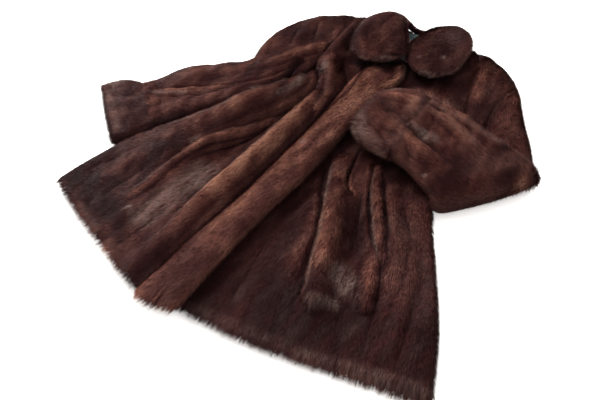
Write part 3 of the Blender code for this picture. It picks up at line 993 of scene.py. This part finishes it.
    def dress(self, pelt: Material, guard: Material) -> int:
        """Finish the piece: its material, its hair and its place on the body.

        Args:
            pelt: the hide's material.
            guard: the hair's material.

        Returns:
            How many blades it has.
        """
        self.hide.data.materials.clear()
        self.hide.data.materials.append(pelt)
        self.hide.data.shade_smooth()
        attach(self.hide, BODY)
        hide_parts(self.node)
        wanted = self.open_fur().sum() * PER_SQUARE_METRE
        grown, blades_in_all = [], 0
        for kind in Pile:
            count = min(int(wanted * kind.value.share), MOST_BLADES)
            blades = self.grow(kind.value, count, guard)
            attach(blades, BODY)
            grown.append(blades)
            blades_in_all += count
        log.info("%s: hide of %d faces, %d blades", self.node, len(self.hide.data.polygons), blades_in_all)
        return blades_in_all


def open_air(tree: BVHTree, points: Array, normals: Array) -> Array:
    """Share of the sky that each point sees.

    Args:
        tree: what stands in the way.
        points: positions, one row each.
        normals: the surface's directions there.

    Returns:
        From 0, shut in, to 1, open. A surface that faces down sees none.
    """
    turns = np.arange(SKY_RAYS) * math.pi * (3 - math.sqrt(5))
    height = (np.arange(SKY_RAYS) + 0.5) / SKY_RAYS * RAY_HEIGHTS + LOWEST_RAY
    level = np.sqrt(1 - height**2)
    rays = [Vector(ray) for ray in zip(level * np.cos(turns), level * np.sin(turns), height)]
    sky = np.zeros(len(points))
    for number in np.flatnonzero(normals[:, 2] > FACE_DOWN):
        normal = Vector(normals[number])
        start = Vector(points[number]) + normal * SKY_LIFT + Vector((0, 0, SKY_START))
        seen = sum(ray.dot(normal) > GRAZING and tree.ray_cast(start, ray, SKY_REACH)[0] is None
                   for ray in rays)
        sky[number] = seen / SKY_RAYS
    return sky


def joined_tree(pieces: list[FurPiece]) -> BVHTree:
    """Put the hides of several pieces in one search tree.

    Args:
        pieces: the fur pieces, with their hides built.

    Returns:
        The tree.
    """
    points, corners, first = [], [], 0
    for piece in pieces:
        found = piece.points()
        points.append(found)
        corners.append(piece.triangles() + first)
        first += len(found)
    return BVHTree.FromPolygons(np.vstack(points).tolist(), np.vstack(corners).tolist())


def blade_mesh(name: str, blades: Array, tone: Array, sheen_and_dust: Array, finish: Material) -> Object:
    """Join tapered blades into one mesh, with their shades and a map that gives each its own spot.

    Args:
        name: the object's name.
        blades: for each blade its two root corners and its tip.
        tone: each blade's brightness, with its painted shade and light.
        sheen_and_dust: each blade's grey of painted sheen, with some dust.
        finish: the material.

    Returns:
        The new object.
    """
    count = len(blades)
    mesh = bpy.data.meshes.new(name)
    mesh.vertices.add(3 * count)
    mesh.vertices.foreach_set("co", blades.astype(np.float32).ravel())
    mesh.loops.add(3 * count)
    mesh.loops.foreach_set("vertex_index", np.arange(3 * count, dtype=np.int32))
    mesh.polygons.add(count)
    mesh.polygons.foreach_set("loop_start", np.arange(0, 3 * count, 3, dtype=np.int32))
    mesh.update(calc_edges=True)
    for attribute, values in (("tone", np.repeat(tone, 3)), ("sheen_and_dust", np.repeat(sheen_and_dust, 3)),
                              ("along", np.tile((0.0, 0.0, 1.0), count))):
        layer = mesh.attributes.new(attribute, "FLOAT", "POINT")
        layer.data.foreach_set("value", values.astype(np.float32))
    across = math.ceil(math.sqrt(count))
    spot = np.arange(count)
    corner = np.column_stack([spot % across, spot // across])[:, None] + np.array(
        [[(0.12, 0.15), (0.88, 0.15), (0.5, 0.9)]])
    layer = mesh.uv_layers.new(name="OFBake")
    layer.uv.foreach_set("vector", (corner / across).astype(np.float32).ravel())
    mesh.materials.append(finish)
    return placed(name, mesh)


# ---------------------------------------------------------------- the coat's own tables


def metres(values: tuple[float, ...]) -> tuple[float, ...]:
    """Millimetres turned to metres."""
    return tuple(value / MILLIMETRES for value in values)


def lies(*rows: tuple[float, ...]) -> tuple[Sweep, ...]:
    """Sweeps from rows of x and y in millimetres, the direction's dx, and perhaps its dy and the height.

    Without the last two the hair lies down the coat, on its lowest layer.
    """
    full = (row + (-1.0, 20)[len(row) - 3:] for row in rows)
    return tuple(Sweep(metres((x, y, height)), (dx, dy)) for x, y, dx, dy, height in full)


def ridge(path: Path, rise: Triple, right: Pair, left: Pair | None = None, flank_sheen: float = 0.0) -> Crease:
    """A crease in millimetres, with two like flanks where no left one is given."""
    return Crease(tuple(metres(point) for point in path), metres(rise), metres(right),
                  metres(left or right), flank_sheen)


def trough(path: Path, depth: Triple, half: Pair) -> Crease:
    """A sunk crease in millimetres with two like flanks, from positive depths."""
    return ridge(path, (-depth[0], -depth[1], -depth[2]), half)


def filled_seam(path: Path, rise: float, half: float) -> Crease:
    """A seam that the fur hides: the lower piece swells to the height of the higher one."""
    return ridge(path, (rise, rise, rise), (half, half))


def streaks(*rows: tuple[float, ...]) -> tuple[Patch, ...]:
    """Patches from rows of start, end and radius in millimetres, the grey of painted sheen and dust, and
    perhaps the painted shade or light.
    """
    return tuple(Patch(metres(row[:2]), metres(row[2:4]), row[4] / MILLIMETRES, *row[5:]) for row in rows)


def band_seam() -> Crease:
    """The furrow where the band is sewn to the right front, which both of them share."""
    return trough(((-41, 312), (-31, 241), (-26, 190), (-32, 140), (-38, 80), (-41, 20), (-41, -80),
                  (-46, -170), (-60, -260), (-71, -390)), (9, 7, 2), (12, 15))


def right_front() -> FurPiece:
    """The right front, with its side roll, the thin ridge and the pleat beside the band.

    Returns:
        The piece, not yet built.
    """
    return FurPiece("front_right", (0.40, 0.85), 0.21, "laid", ("back",),
                    joins=("front_band", "sleeve_right"), seed=2, light=1.04, sweeps=lies(
        (-100, 450, -0.05), (-150, 430, -0.7), (-150, 360, -0.7), (-150, 300, -0.6), (-120, 200, -0.2),
        (-70, 0, -0.15), (-250, -50, -0.65), (-370, -150, -0.6), (-100, -400, -0.12),
        (-300, -350, -0.38), (-420, -300, -0.45)
    ), creases=(
        # the side roll's crest, and the furrow on its inner side
        ridge(((-138, 165), (-158, 111), (-192, 52), (-222, -5), (-262, -55), (-325, -118)), (8, 11, 3),
              (20, 34), (22, 44), 0.4),
        trough(((-100, 185), (-101, 146), (-111, 112), (-122, 78), (-140, 36), (-164, -4), (-186, -50)),
               (12, 15, 3), (14, 15)),
        # the thin ridge, with a furrow on either side
        ridge(((-126, 35), (-150, -20), (-173, -55), (-208, -110), (-228, -165), (-237, -235),
              (-250, -285)), (3, 10, 2), (9, 15), (11, 16), 0.3),
        trough(((-112, 70), (-127, -5), (-148, -55), (-178, -105), (-200, -150)), (5, 8, 2), (11, 13)),
        trough(((-185, -45), (-218, -90), (-245, -145), (-262, -215)), (3, 7, 2), (13, 18)),
        # the pleat beside the band: steep on the outside, with a furrow at its foot
        ridge(((-74, 140), (-78, 55), (-80, 0), (-82, -55), (-87, -110), (-95, -165), (-104, -225),
              (-114, -390)), (8, 11, 6), (15, 18), (24, 28), 0.45),
        trough(((-98, 70), (-103, -10), (-107, -80), (-120, -145), (-136, -200), (-148, -250)),
               (4, 8, 2), (12, 16)),
        band_seam(),
        filled_seam(((-158, 470), (-158, 380), (-157, 290)), 8, 34),
        # the chest
        ridge(((-152, 311), (-109, 264), (-74, 218), (-53, 164), (-51, 109)), (1, 10, 8), (26, 22),
              (28, 26), 0.15),
        trough(((-165, 265), (-120, 221), (-94, 164), (-93, 103)), (3, 9, 8), (15, 13)),
        trough(((-172, 250), (-158, 215), (-150, 180), (-156, 150)), (8, 14, 6), (18, 14)),
        # shallow waves towards the hem
        ridge(((-300, -170), (-330, -230), (-350, -290)), (1, 4, 3), (18, 24), (20, 26)),
        trough(((-275, -190), (-296, -260), (-312, -335)), (1, 4, 4), (14, 20)),
        trough(((-335, -170), (-368, -220), (-390, -262)), (1, 4, 3), (14, 18)),
        trough(((-160, -270), (-176, -330), (-186, -385)), (1, 4, 4), (16, 22)),
        ridge(((-205, -240), (-222, -310), (-235, -370)), (1, 4, 3), (18, 22)),
    # streaks of painted shade and painted light, and of painted grey sheen with a pale speck
    ), patches=streaks(
        (-160, -160, -188, -300, 27, 0.55), (-133, 180, -131, 150, 6, 0.8),
        (-131, 150, -148, 97, 6, 0.4), (-122, 254, -112, 238, 9, 0.6),
        (-160, 262, -110, 218, 13, 0, -0.45), (-148, 460, -146, 310, 20, 0, -0.42),
        (-162, 235, -150, 185, 17, 0, -0.95), (-44, 214, -41, 208, 4, 0.5),
        (-170, 168, -300, -12, 7, 0, -0.72), (-300, -12, -360, -125, 8, 0, -0.75),
        (-287, -148, -279, -203, 14, 0, -0.45), (-360, -239, -343, -196, 20, 0.06, 0.4),
        (-420, -294, -331, -299, 20, 0, -0.35), (-246, -277, -217, -200, 7, 0, 0.45),
        (-329, -317, -218, -323, 22, 0, -0.35), (-326, -347, -248, -374, 8, 0.15, 0.5),
        (-309, -143, -282, -108, 10, 0, 0.35), (-236, -103, -229, -95, 8, 0.6),
        (-258, -115, -264, -134, 12, 0, -0.4), (-247, -328, -212, -336, 18, 0, -0.22),
        (-420, -230, -315, -400, 75, 0, -0.7), (-400, -302, -300, -262, 12, 0, -0.45),
        (-290, -312, -262, -332, 15, 0, -0.4), (-228, -340, -188, -366, 12, 0, -0.35),
        (-365, -331, -300, -362, 8, 0, 0.6), (-300, -362, -196, -403, 8, 0, 0.4),
        (-350, -262, -322, -242, 10, 0.1, 0.3), (-108, -360, -114, -420, 30, 0, -0.3),
        (-78, 100, -94, -190, 21, 0, 0.62), (-300, -120, -350, -190, 30, 0.12, -0.15),
        (-230, -311, -225, -305, 4.5, 1), (-84, 314, -40, 308, 9, 0, -0.7),
        (-190, -20, -225, -65, 14, 0, -0.3)
    ))


def left_front() -> FurPiece:
    """The left front, with the soft folds that come out under the left sleeve.

    Returns:
        The piece, not yet built.
    """
    return FurPiece("front_left", (0.46, 0.90), 0.34, "laid", ("back",), joins=("sleeve_left",), seed=3,
                    light=1.06, sweeps=lies(
        (120, 420, 0.1), (100, 100, 0.1), (30, -300, 0), (120, -200, 0.22), (220, -300, 0.28),
        (300, -100, 0.45), (380, -300, 0.2)
    ), creases=(
        # the long fold: steep on its outside, broad on the other, with a round end
        ridge(((66, -12), (82, -50), (102, -95), (126, -142), (144, -185), (158, -228), (173, -268),
              (187, -302)), (5, 13, 12), (15, 18), (28, 34), 0.55),
        trough(((50, -35), (68, -78), (100, -132), (127, -190), (139, -235), (152, -268), (163, -300)),
               (7, 12, 9), (11, 14)),
        trough(((160, -300), (170, -335), (172, -360), (168, -385)), (6, 4, 2), (16, 22)),
        # the round end of the fold next to it
        ridge(((232, -178), (245, -213), (256, -242), (265, -268)), (3, 8, 8), (18, 20), (15, 17)),
        trough(((131, 15), (152, -38), (172, -84), (195, -121), (218, -155)), (7, 12, 3), (10, 11)),
        trough(((148, -65), (166, -110), (182, -148), (196, -190)), (4, 9, 3), (20, 26)),
        ridge(((146, 10), (162, -35), (179, -68), (202, -108), (224, -145), (250, -183)), (6, 11, 3),
              (10, 12), (10, 13), 0.5),
        trough(((172, -15), (194, -60), (216, -98), (240, -135)), (4, 8, 2), (9, 10)),
        ridge(((190, -20), (214, -70), (240, -110), (263, -155), (288, -215)), (3, 8, 2), (14, 20),
              (18, 24)),
        trough(((86, 40), (94, 0), (104, -43), (118, -66), (131, -73)), (5, 11, 6), (9, 9)),
        ridge(((80, -122), (103, -190), (119, -250), (138, -310)), (3, 6, 4), (26, 28), (14, 18)),
        # the hem
        trough(((240, -290), (242, -320), (240, -350)), (3, 4, 2), (18, 20)),
        trough(((244, -171), (262, -212), (279, -258), (290, -303), (300, -347)), (3, 5, 3), (16, 20)),
        trough(((318, -200), (337, -260), (350, -335)), (2, 4, 4), (14, 18)),
        ridge(((292, -150), (318, -235), (330, -320)), (2, 4, 4), (16, 20)),
        trough(((45, -200), (60, -280), (70, -360)), (1, 4, 4), (18, 22)),
    # streaks of painted shade and painted light, darker towards the hem, and of painted grey sheen
    ), patches=streaks(
        (65, 322, 105, 298, 16, 0, -0.55), (110, 262, 195, 246, 20, 0.24, 0.95),
        (170, 330, 205, 255, 18, 0, -0.35), (202, -238, 226, -255, 19, 0.46),
        (193, -311, 222, -294, 10, 0.34), (250, -220, 266, -268, 12, 0, 0.2),
        (150, -85, 195, -175, 18, 0, -0.3), (60, -140, 105, -330, 22, 0, -0.22),
        (0, -390, 160, -350, 75, 0, -0.5), (180, -330, 360, -300, 65, 0, -0.68),
        (350, -180, 390, -290, 40, 0, -0.3), (240, -100, 345, -220, 34, 0.09, -0.22),
        (30, -180, 80, -290, 40, 0, -0.22), (214, -386, 434, -336, 8, 0.26, 0.3),
        (340, -364, 402, -350, 5, 0, -0.6), (18, -410, 200, -388, 9, 0.12, 0.25)
    ))


def fur_pieces() -> list[FurPiece]:
    """The coat's nine fur pieces with their creases, patches and the lie of their hair.

    Returns:
        The pieces, not yet built.
    """
    back = FurPiece("back", (0.87, 0.93), 0.60, "laid", ("floor",), seed=1, sweeps=lies(
        (0, 450, 0), (-200, 0, -0.35), (250, 0, 0.2), (0, -400, 0), (-420, -300, -0.45),
        (410, -350, 0.15)
    # a streak of painted grey sheen along the hem
    ), patches=streaks(
        (335, -368, 410, -345, 22, 0.22)
    ))
    band = FurPiece("front_band", (0.11, 0.80), 0.076, "laid", ("front_left", "back"),
                    joins=("front_right",), seed=4, light=1.54, sweeps=lies(
        (0, 300, -0.05), (0, 0, -0.02), (-20, -300, -0.08)
    ), creases=(
        band_seam(),
        ridge(((20, 190), (20, 30), (18, -80), (10, -160), (-4, -250), (-20, -410)), (2, 5, 4), (46, 46),
              (22, 22)),
        trough(((-10, 338), (12, 334), (32, 331)), (6, 10, 6), (14, 12)),
        ridge(((36, 325), (54, 296), (58, 270), (44, 240)), (4, 7, 3), (16, 16), (12, 12)),
    # streaks of painted shade under the collar and towards the hem, and of painted grey sheen with pale
    # specks
    ), patches=streaks(
        (-13, -10, -18, -7, 5, 0.7), (1, 38, -4, 37, 3, 0.6), (-44, 308, 26, 330, 14, 0, -0.95),
        (-28, 189, -36, 110, 7, 0, -0.4), (44, 330, 63, 296, 5, 0.55), (63, 296, 66, 272, 5, 0.4),
        (8, 314, 36, 297, 14, 0, -0.9), (-20, -350, -34, -410, 36, 0, -0.3),
        (-6, -170, -26, -400, 50, 0, -0.16), (-8, -250, -14, -275, 14, 0, -0.25)
    ))
    sleeve_right = FurPiece("sleeve_right", (0.50, 0.47), 0.21, "laid", ("floor",),
                            joins=("cuff_right", "front_right"), seed=5, firmness=1.0, sweeps=lies(
        (-200, 420, -0.45), (-280, 400, -0.75), (-220, 220, -0.5), (-320, 120, -1, -0.85),
        (-450, 0, -1, -0.75)
    ), creases=(
        filled_seam(((-505, 12), (-430, -48), (-362, -104)), 5.5, 34),
        # the pleats of the sleeve head
        trough(((-277, 378), (-268, 345), (-256, 305)), (3, 5, 2), (18, 16)),
        trough(((-238, 412), (-224, 375), (-206, 337)), (3, 4, 2), (14, 14)),
        ridge(((-192, 445), (-175, 410), (-155, 375)), (2, 4, 2), (18, 18)),
        ridge(((-323, 305), (-312, 265), (-297, 228)), (2, 4, 2), (18, 18), (16, 16)),
        # the ridge from the armhole to the elbow and on to the cuff
        ridge(((-130, 342), (-170, 316), (-196, 286), (-220, 245), (-246, 202), (-289, 165), (-340, 120),
              (-400, 70)), (4, 9, 2), (22, 26), (20, 24)),
        trough(((-180, 250), (-200, 195), (-222, 145), (-255, 108), (-300, 78), (-370, 50), (-430, 10)),
               (8, 10, 3), (14, 12)),
        ridge(((-262, 96), (-310, 60), (-370, 26), (-430, -6), (-470, -25)), (3, 7, 3), (10, 10),
              (18, 20)),
        ridge(((-190, 200), (-225, 130), (-275, 50), (-340, -20), (-400, -70)), (2, 5, 2), (20, 26)),
        trough(((-182, 238), (-184, 205), (-178, 170), (-180, 142)), (6, 12, 5), (14, 12)),
    # streaks of painted shade and painted light, and of painted grey sheen
    ), patches=streaks(
        (-222, 94, -208, 108, 7, 0.7), (-365, 20, -452, -22, 4.5, 0.55),
        (-186, 240, -176, 165, 14, 0, -0.95), (-320, 105, -430, 40, 18, 0, -0.2),
        (-285, 358, -225, 352, 42, 0, -0.46), (-172, 460, -174, 325, 12, 0, 0.45),
        (-355, -122, -335, -85, 16, 0, -0.45), (-357, -92, -319, -42, 12, 0, -0.5),
        (-172, 112, -248, 8, 14, 0, -0.3), (-248, 8, -372, -137, 16, 0, -0.35)
    ))
    cuff_right = FurPiece("cuff_right", (0.40, 0.10), 0.040, "laid", ("floor",), joins=("sleeve_right",),
                          slot="mink_trim", seed=6, firmness=1.0, light=0.74, rim_sheen=0.05, sweeps=lies(
        (-530, 0, -1, -0.55), (-480, -140, -1, -0.65)
    ), creases=(
        trough(((-450, -30), (-500, -60), (-550, -85)), (2, 3, 1), (26, 26)),
    # streaks of painted shade and painted light, and of painted grey sheen
    ), patches=streaks(
        (-585, -40, -545, -20, 12, 0.45), (-545, -66, -415, -155, 9, 0.34, 0.45),
        (-582, -64, -400, -188, 8, 0, -0.6), (-550, -35, -445, -110, 10, 0.14, 0.14)
    ))
    sleeve_left = FurPiece("sleeve_left", (0.48, 0.58), 0.25, "folded", ("front_left", "back"),
                           joins=("cuff_left", "front_left"), seed=7, firmness=1.0, sweeps=lies(
        (230, 420, 0.5), (280, 330, 0.42), (330, 220, 0.42), (360, 130, 0.45), (360, 90, -1, 0.25, 55),
        (300, 0, -1, 0.1, 55), (250, 120, -1, 0.25, 55), (190, 60, -1, 0.15, 55)
    ), creases=(
        filled_seam(((168, 212), (166, 120), (162, 30)), 9.5, 42),
        # the forearm, from the upper edge down
        ridge(((160, 188), (200, 184), (240, 172), (290, 150), (335, 132)), (7, 6, 2), (16, 14),
              (14, 14)),
        trough(((170, 173), (205, 167), (245, 153)), (3, 5, 1), (9, 10)),
        ridge(((158, 156), (205, 152), (232, 141), (270, 122), (312, 100)), (4, 8, 2), (16, 18),
              (12, 14)),
        trough(((148, 111), (168, 93), (197, 78), (226, 65), (256, 54), (292, 34)), (10, 13, 2),
               (13, 32)),
        ridge(((146, 90), (189, 58), (228, 41), (263, 30), (305, 12)), (7, 10, 3), (24, 24), (14, 18)),
        # the upper arm
        trough(((175, 410), (182, 340), (212, 262), (262, 212)), (4, 8, 6), (18, 20)),
        ridge(((205, 420), (214, 350), (240, 285)), (3, 6, 3), (24, 22), (26, 24)),
        trough(((293, 376), (281, 312), (277, 250), (286, 200)), (2, 8, 6), (16, 16)),
        ridge(((330, 330), (312, 290), (308, 240)), (3, 5, 3), (22, 22), (26, 26)),
    # streaks of painted shade and painted light, and of painted grey sheen with a pale speck
    ), patches=streaks(
        (200, 92, 224, 89, 10, 0.65), (158, 110, 190, 94, 6, 0.4), (195, 157, 300, 108, 6, 0.2),
        (160, 190, 335, 136, 6, 0.24), (250, -4, 247, -1, 2.5, 1), (172, 180, 168, 30, 12, 0.15, -0.05),
        (255, 60, 295, 40, 26, 0, -0.25), (190, 10, 240, -10, 20, 0, 0.15),
        (330, 80, 385, 100, 30, 0.11, 0.18), (405, 80, 420, 105, 20, 0.1, 0.7),
        (190, 400, 230, 260, 25, 0, 0.25), (290, 340, 330, 240, 20, 0, 0.25),
        (245, 320, 268, 240, 12, 0, -0.2)
    ))
    cuff_left = FurPiece("cuff_left", (0.40, 0.10), 0.035, "folded", ("front_left", "front_band"),
                         joins=("sleeve_left",), slot="mink_trim", seed=8, firmness=1.0, lumps=0.0007,
                         sweeps=lies(
        (150, 180, -1, 0.25, 60), (90, 120, -1, -0.2, 60), (150, 40, -1, -0.35, 60)
    ), creases=(
        trough(((162, 104), (150, 110), (135, 119), (112, 121), (96, 130), (88, 148)), (9, 5, 1),
               (16, 22)),
        ridge(((163, 78), (140, 85), (112, 95), (90, 105)), (7, 6, 2), (14, 16), (20, 20)),
        trough(((150, 40), (120, 60), (90, 75)), (2, 4, 2), (12, 14)),
        ridge(((148, 170), (110, 165), (80, 160)), (3, 5, 2), (18, 18)),
    # streaks of painted shade and painted light, and of painted grey sheen
    ), patches=streaks(
        (56, 82, 86, 42, 19, 0.66), (58, 130, 60, 100, 13, 0.4), (63, 178, 105, 206, 10, 0.35),
        (110, 40, 150, 22, 12, 0.3), (92, 168, 140, 168, 20, 0, 0.22), (92, 146, 112, 122, 12, 0, -0.3),
        (158, 180, 156, 30, 16, 0.17, 0.4)
    ))
    collar = FurPiece("collar", (0.58, 0.13), 0.055, "folded", ("front_right", "front_left", "back"),
                      slot="mink_trim", seed=9, firmness=0.9, lumps=0.0005, rim_sheen=0.05, fringe=-0.40,
                      light=0.88, sweeps=lies(
        (-80, 360, -0.6, -1, 50), (-20, 300, -0.1, -1, 50), (-90, 460, -1, 0.1, 50),
        (20, 360, 0.2, -1, 50), (20, 500, 0, 1), (140, 460, 1, 0.1, 40), (150, 370, 0.7, -1, 40),
        (100, 310, 0.1, -1, 40), (70, 360, -0.2, -1, 40)
    ), creases=(
        # the right leaf
        trough(((-55, 490), (-60, 440), (-48, 385)), (2, 4, 1), (22, 22)),
        ridge(((-100, 440), (-96, 380), (-66, 334)), (2, 4, 3), (16, 16), (20, 20)),
        trough(((-10, 322), (12, 330), (30, 344)), (2, 5, 4), (10, 10)),
        # the left leaf
        trough(((60, 470), (85, 430), (118, 412)), (1, 3, 1), (24, 24)),
    # streaks of painted grey sheen along the leaves' edges with pale specks, and of painted shade and light
    ), patches=streaks(
        (72, 356, 73, 352, 4, 0.8), (121, 378, 120, 373, 4, 0.8), (-96, 325, -72, 304, 6, 0.55),
        (-68, 300, -30, 296, 5, 0.35), (-20, 300, 22, 322, 5, 0.4), (-118, 460, -112, 360, 6, 0.2),
        (94, 304, 140, 308, 6, 0.4), (142, 310, 162, 345, 6, 0.35), (162, 350, 161, 430, 6, 0.22),
        (-100, 450, -85, 370, 25, 0, -0.25), (-40, 335, -5, 390, 26, 0, 0.15),
        (50, 480, 120, 500, 20, 0, 0.12)
    ))
    return [back, right_front(), left_front(), band,
            sleeve_right, cuff_right, sleeve_left, cuff_left, collar]


@dataclass
class Neck:
    """What shows inside the neck: the lining and its bare label."""

    def build(self, frame: dict) -> None:
        """Make both pieces on their CAD solids.
        """
        lining = self.shell(frame["nodes"]["neck_lining"], "neck_lining_satin", SatinLining().make())
        label = self.shell(frame["nodes"]["label"], "label_cloth", WovenLabel().make())

    def shell(self, source: Object, name: str, finish: Material) -> Object:
        """A cloth piece with fine faces.

        Args:
            source: the CAD node's object.
            name: the piece's name.
            finish: its material.

        Returns:
            The piece, which replaces its CAD node.
        """
        shell = joined_quads(source, bend=0.3, shape=2.0)
        bmesh.ops.subdivide_edges(shell, edges=shell.edges, cuts=2, use_grid_fill=True)
        mesh = finished_mesh(shell, name)
        mesh.materials.append(finish)
        made = placed(name, mesh)
        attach(made, BODY)
        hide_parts(source.name)
        return made


@dataclass
class Coat:
    """The whole coat."""

    pieces: list[FurPiece] = field(default_factory=fur_pieces)

    def build(self, frame: dict) -> None:
        """Make every hide, lay its creases and find where the fur is open to the air.
        """
        for piece in self.pieces:
            piece.build_hide(frame["nodes"][piece.node])
        tree = joined_tree(self.pieces)
        for piece in self.pieces:
            piece.look_up(tree)
            piece.lay_creases()
        tree = joined_tree(self.pieces)
        nodes = {piece.node: piece for piece in self.pieces}
        for piece in self.pieces:
            piece.look_up(tree)
            piece.close_seams(nodes)
            log.info("%s: hide laid", piece.node)

    def dress(self) -> None:
        """Give every piece its fur."""
        pelt, guard = MinkHide().make(), GuardHair().make()
        log.info("blades in all: %d", sum(piece.dress(pelt, guard) for piece in self.pieces))


@dataclass
class Studio:
    """The board that the coat lies on, the light and the camera."""

    board: float = 8.0
    board_level: float = -0.0004  # just under the coat
    sky: float = 1.30
    sky_colour: tuple[float, ...] = (1.0, 0.99, 0.98, 1.0)
    key_power: float = 560.0
    key_size: float = 1.8
    key_colour: Triple = (1.0, 0.98, 0.96)
    key_place: Triple = (-2.90, 2.10, 2.30)
    camera_place: Triple = (0.4733, -0.6467, 0.75)
    camera_right: Triple = (0.8337, 0.5432, -0.0995)
    camera_up: Triple = (-0.3500, 0.6591, 0.6656)
    lens: float = 31.2
    sensor: float = 36.0

    def build(self) -> None:
        """Make the board, the sky, the key light and the camera."""
        scene = bpy.context.scene
        sheet = bmesh.new()
        bmesh.ops.create_grid(sheet, x_segments=2, y_segments=2, size=self.board / 2)
        bmesh.ops.translate(sheet, verts=sheet.verts, vec=(0, 0, self.board_level))
        mesh = finished_mesh(sheet, "floor")
        mesh.materials.append(WhiteBoard().make())
        floor = placed("floor", mesh)
        scene.world = bpy.data.worlds.new("white_room")
        scene.world.use_nodes = True
        light = scene.world.node_tree.nodes["Background"]
        light.inputs["Color"].default_value = self.sky_colour
        light.inputs["Strength"].default_value = self.sky
        lamp = bpy.data.lights.new("window", "AREA")
        lamp.energy, lamp.size, lamp.color = self.key_power, self.key_size, self.key_colour
        window = placed("window", lamp)
        window.location = self.key_place
        window.rotation_euler = (-Vector(self.key_place)).to_track_quat("-Z", "Y").to_euler()
        lens = bpy.data.cameras.new("camera")
        lens.sensor_width, lens.lens = self.sensor, self.lens
        scene.camera = placed("camera", lens)
        right = Vector(self.camera_right).normalized()
        up = (Vector(self.camera_up) - right * right.dot(Vector(self.camera_up))).normalized()
        turned = Matrix((right, up, right.cross(up))).transposed().to_4x4()
        turned.translation = Vector(self.camera_place)
        scene.camera.matrix_world = turned
        scene.view_settings.view_transform = "Standard"


def main() -> None:
    """Dress the coat and set up its stage."""
    logging.basicConfig(level=logging.INFO, format="%(name)s: %(message)s")
    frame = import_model()
    Studio().build()
    coat = Coat()
    coat.build(frame)
    coat.dress()
    Neck().build(frame)
    bpy.context.view_layer.update()


if __name__ == "__main__":
    main()
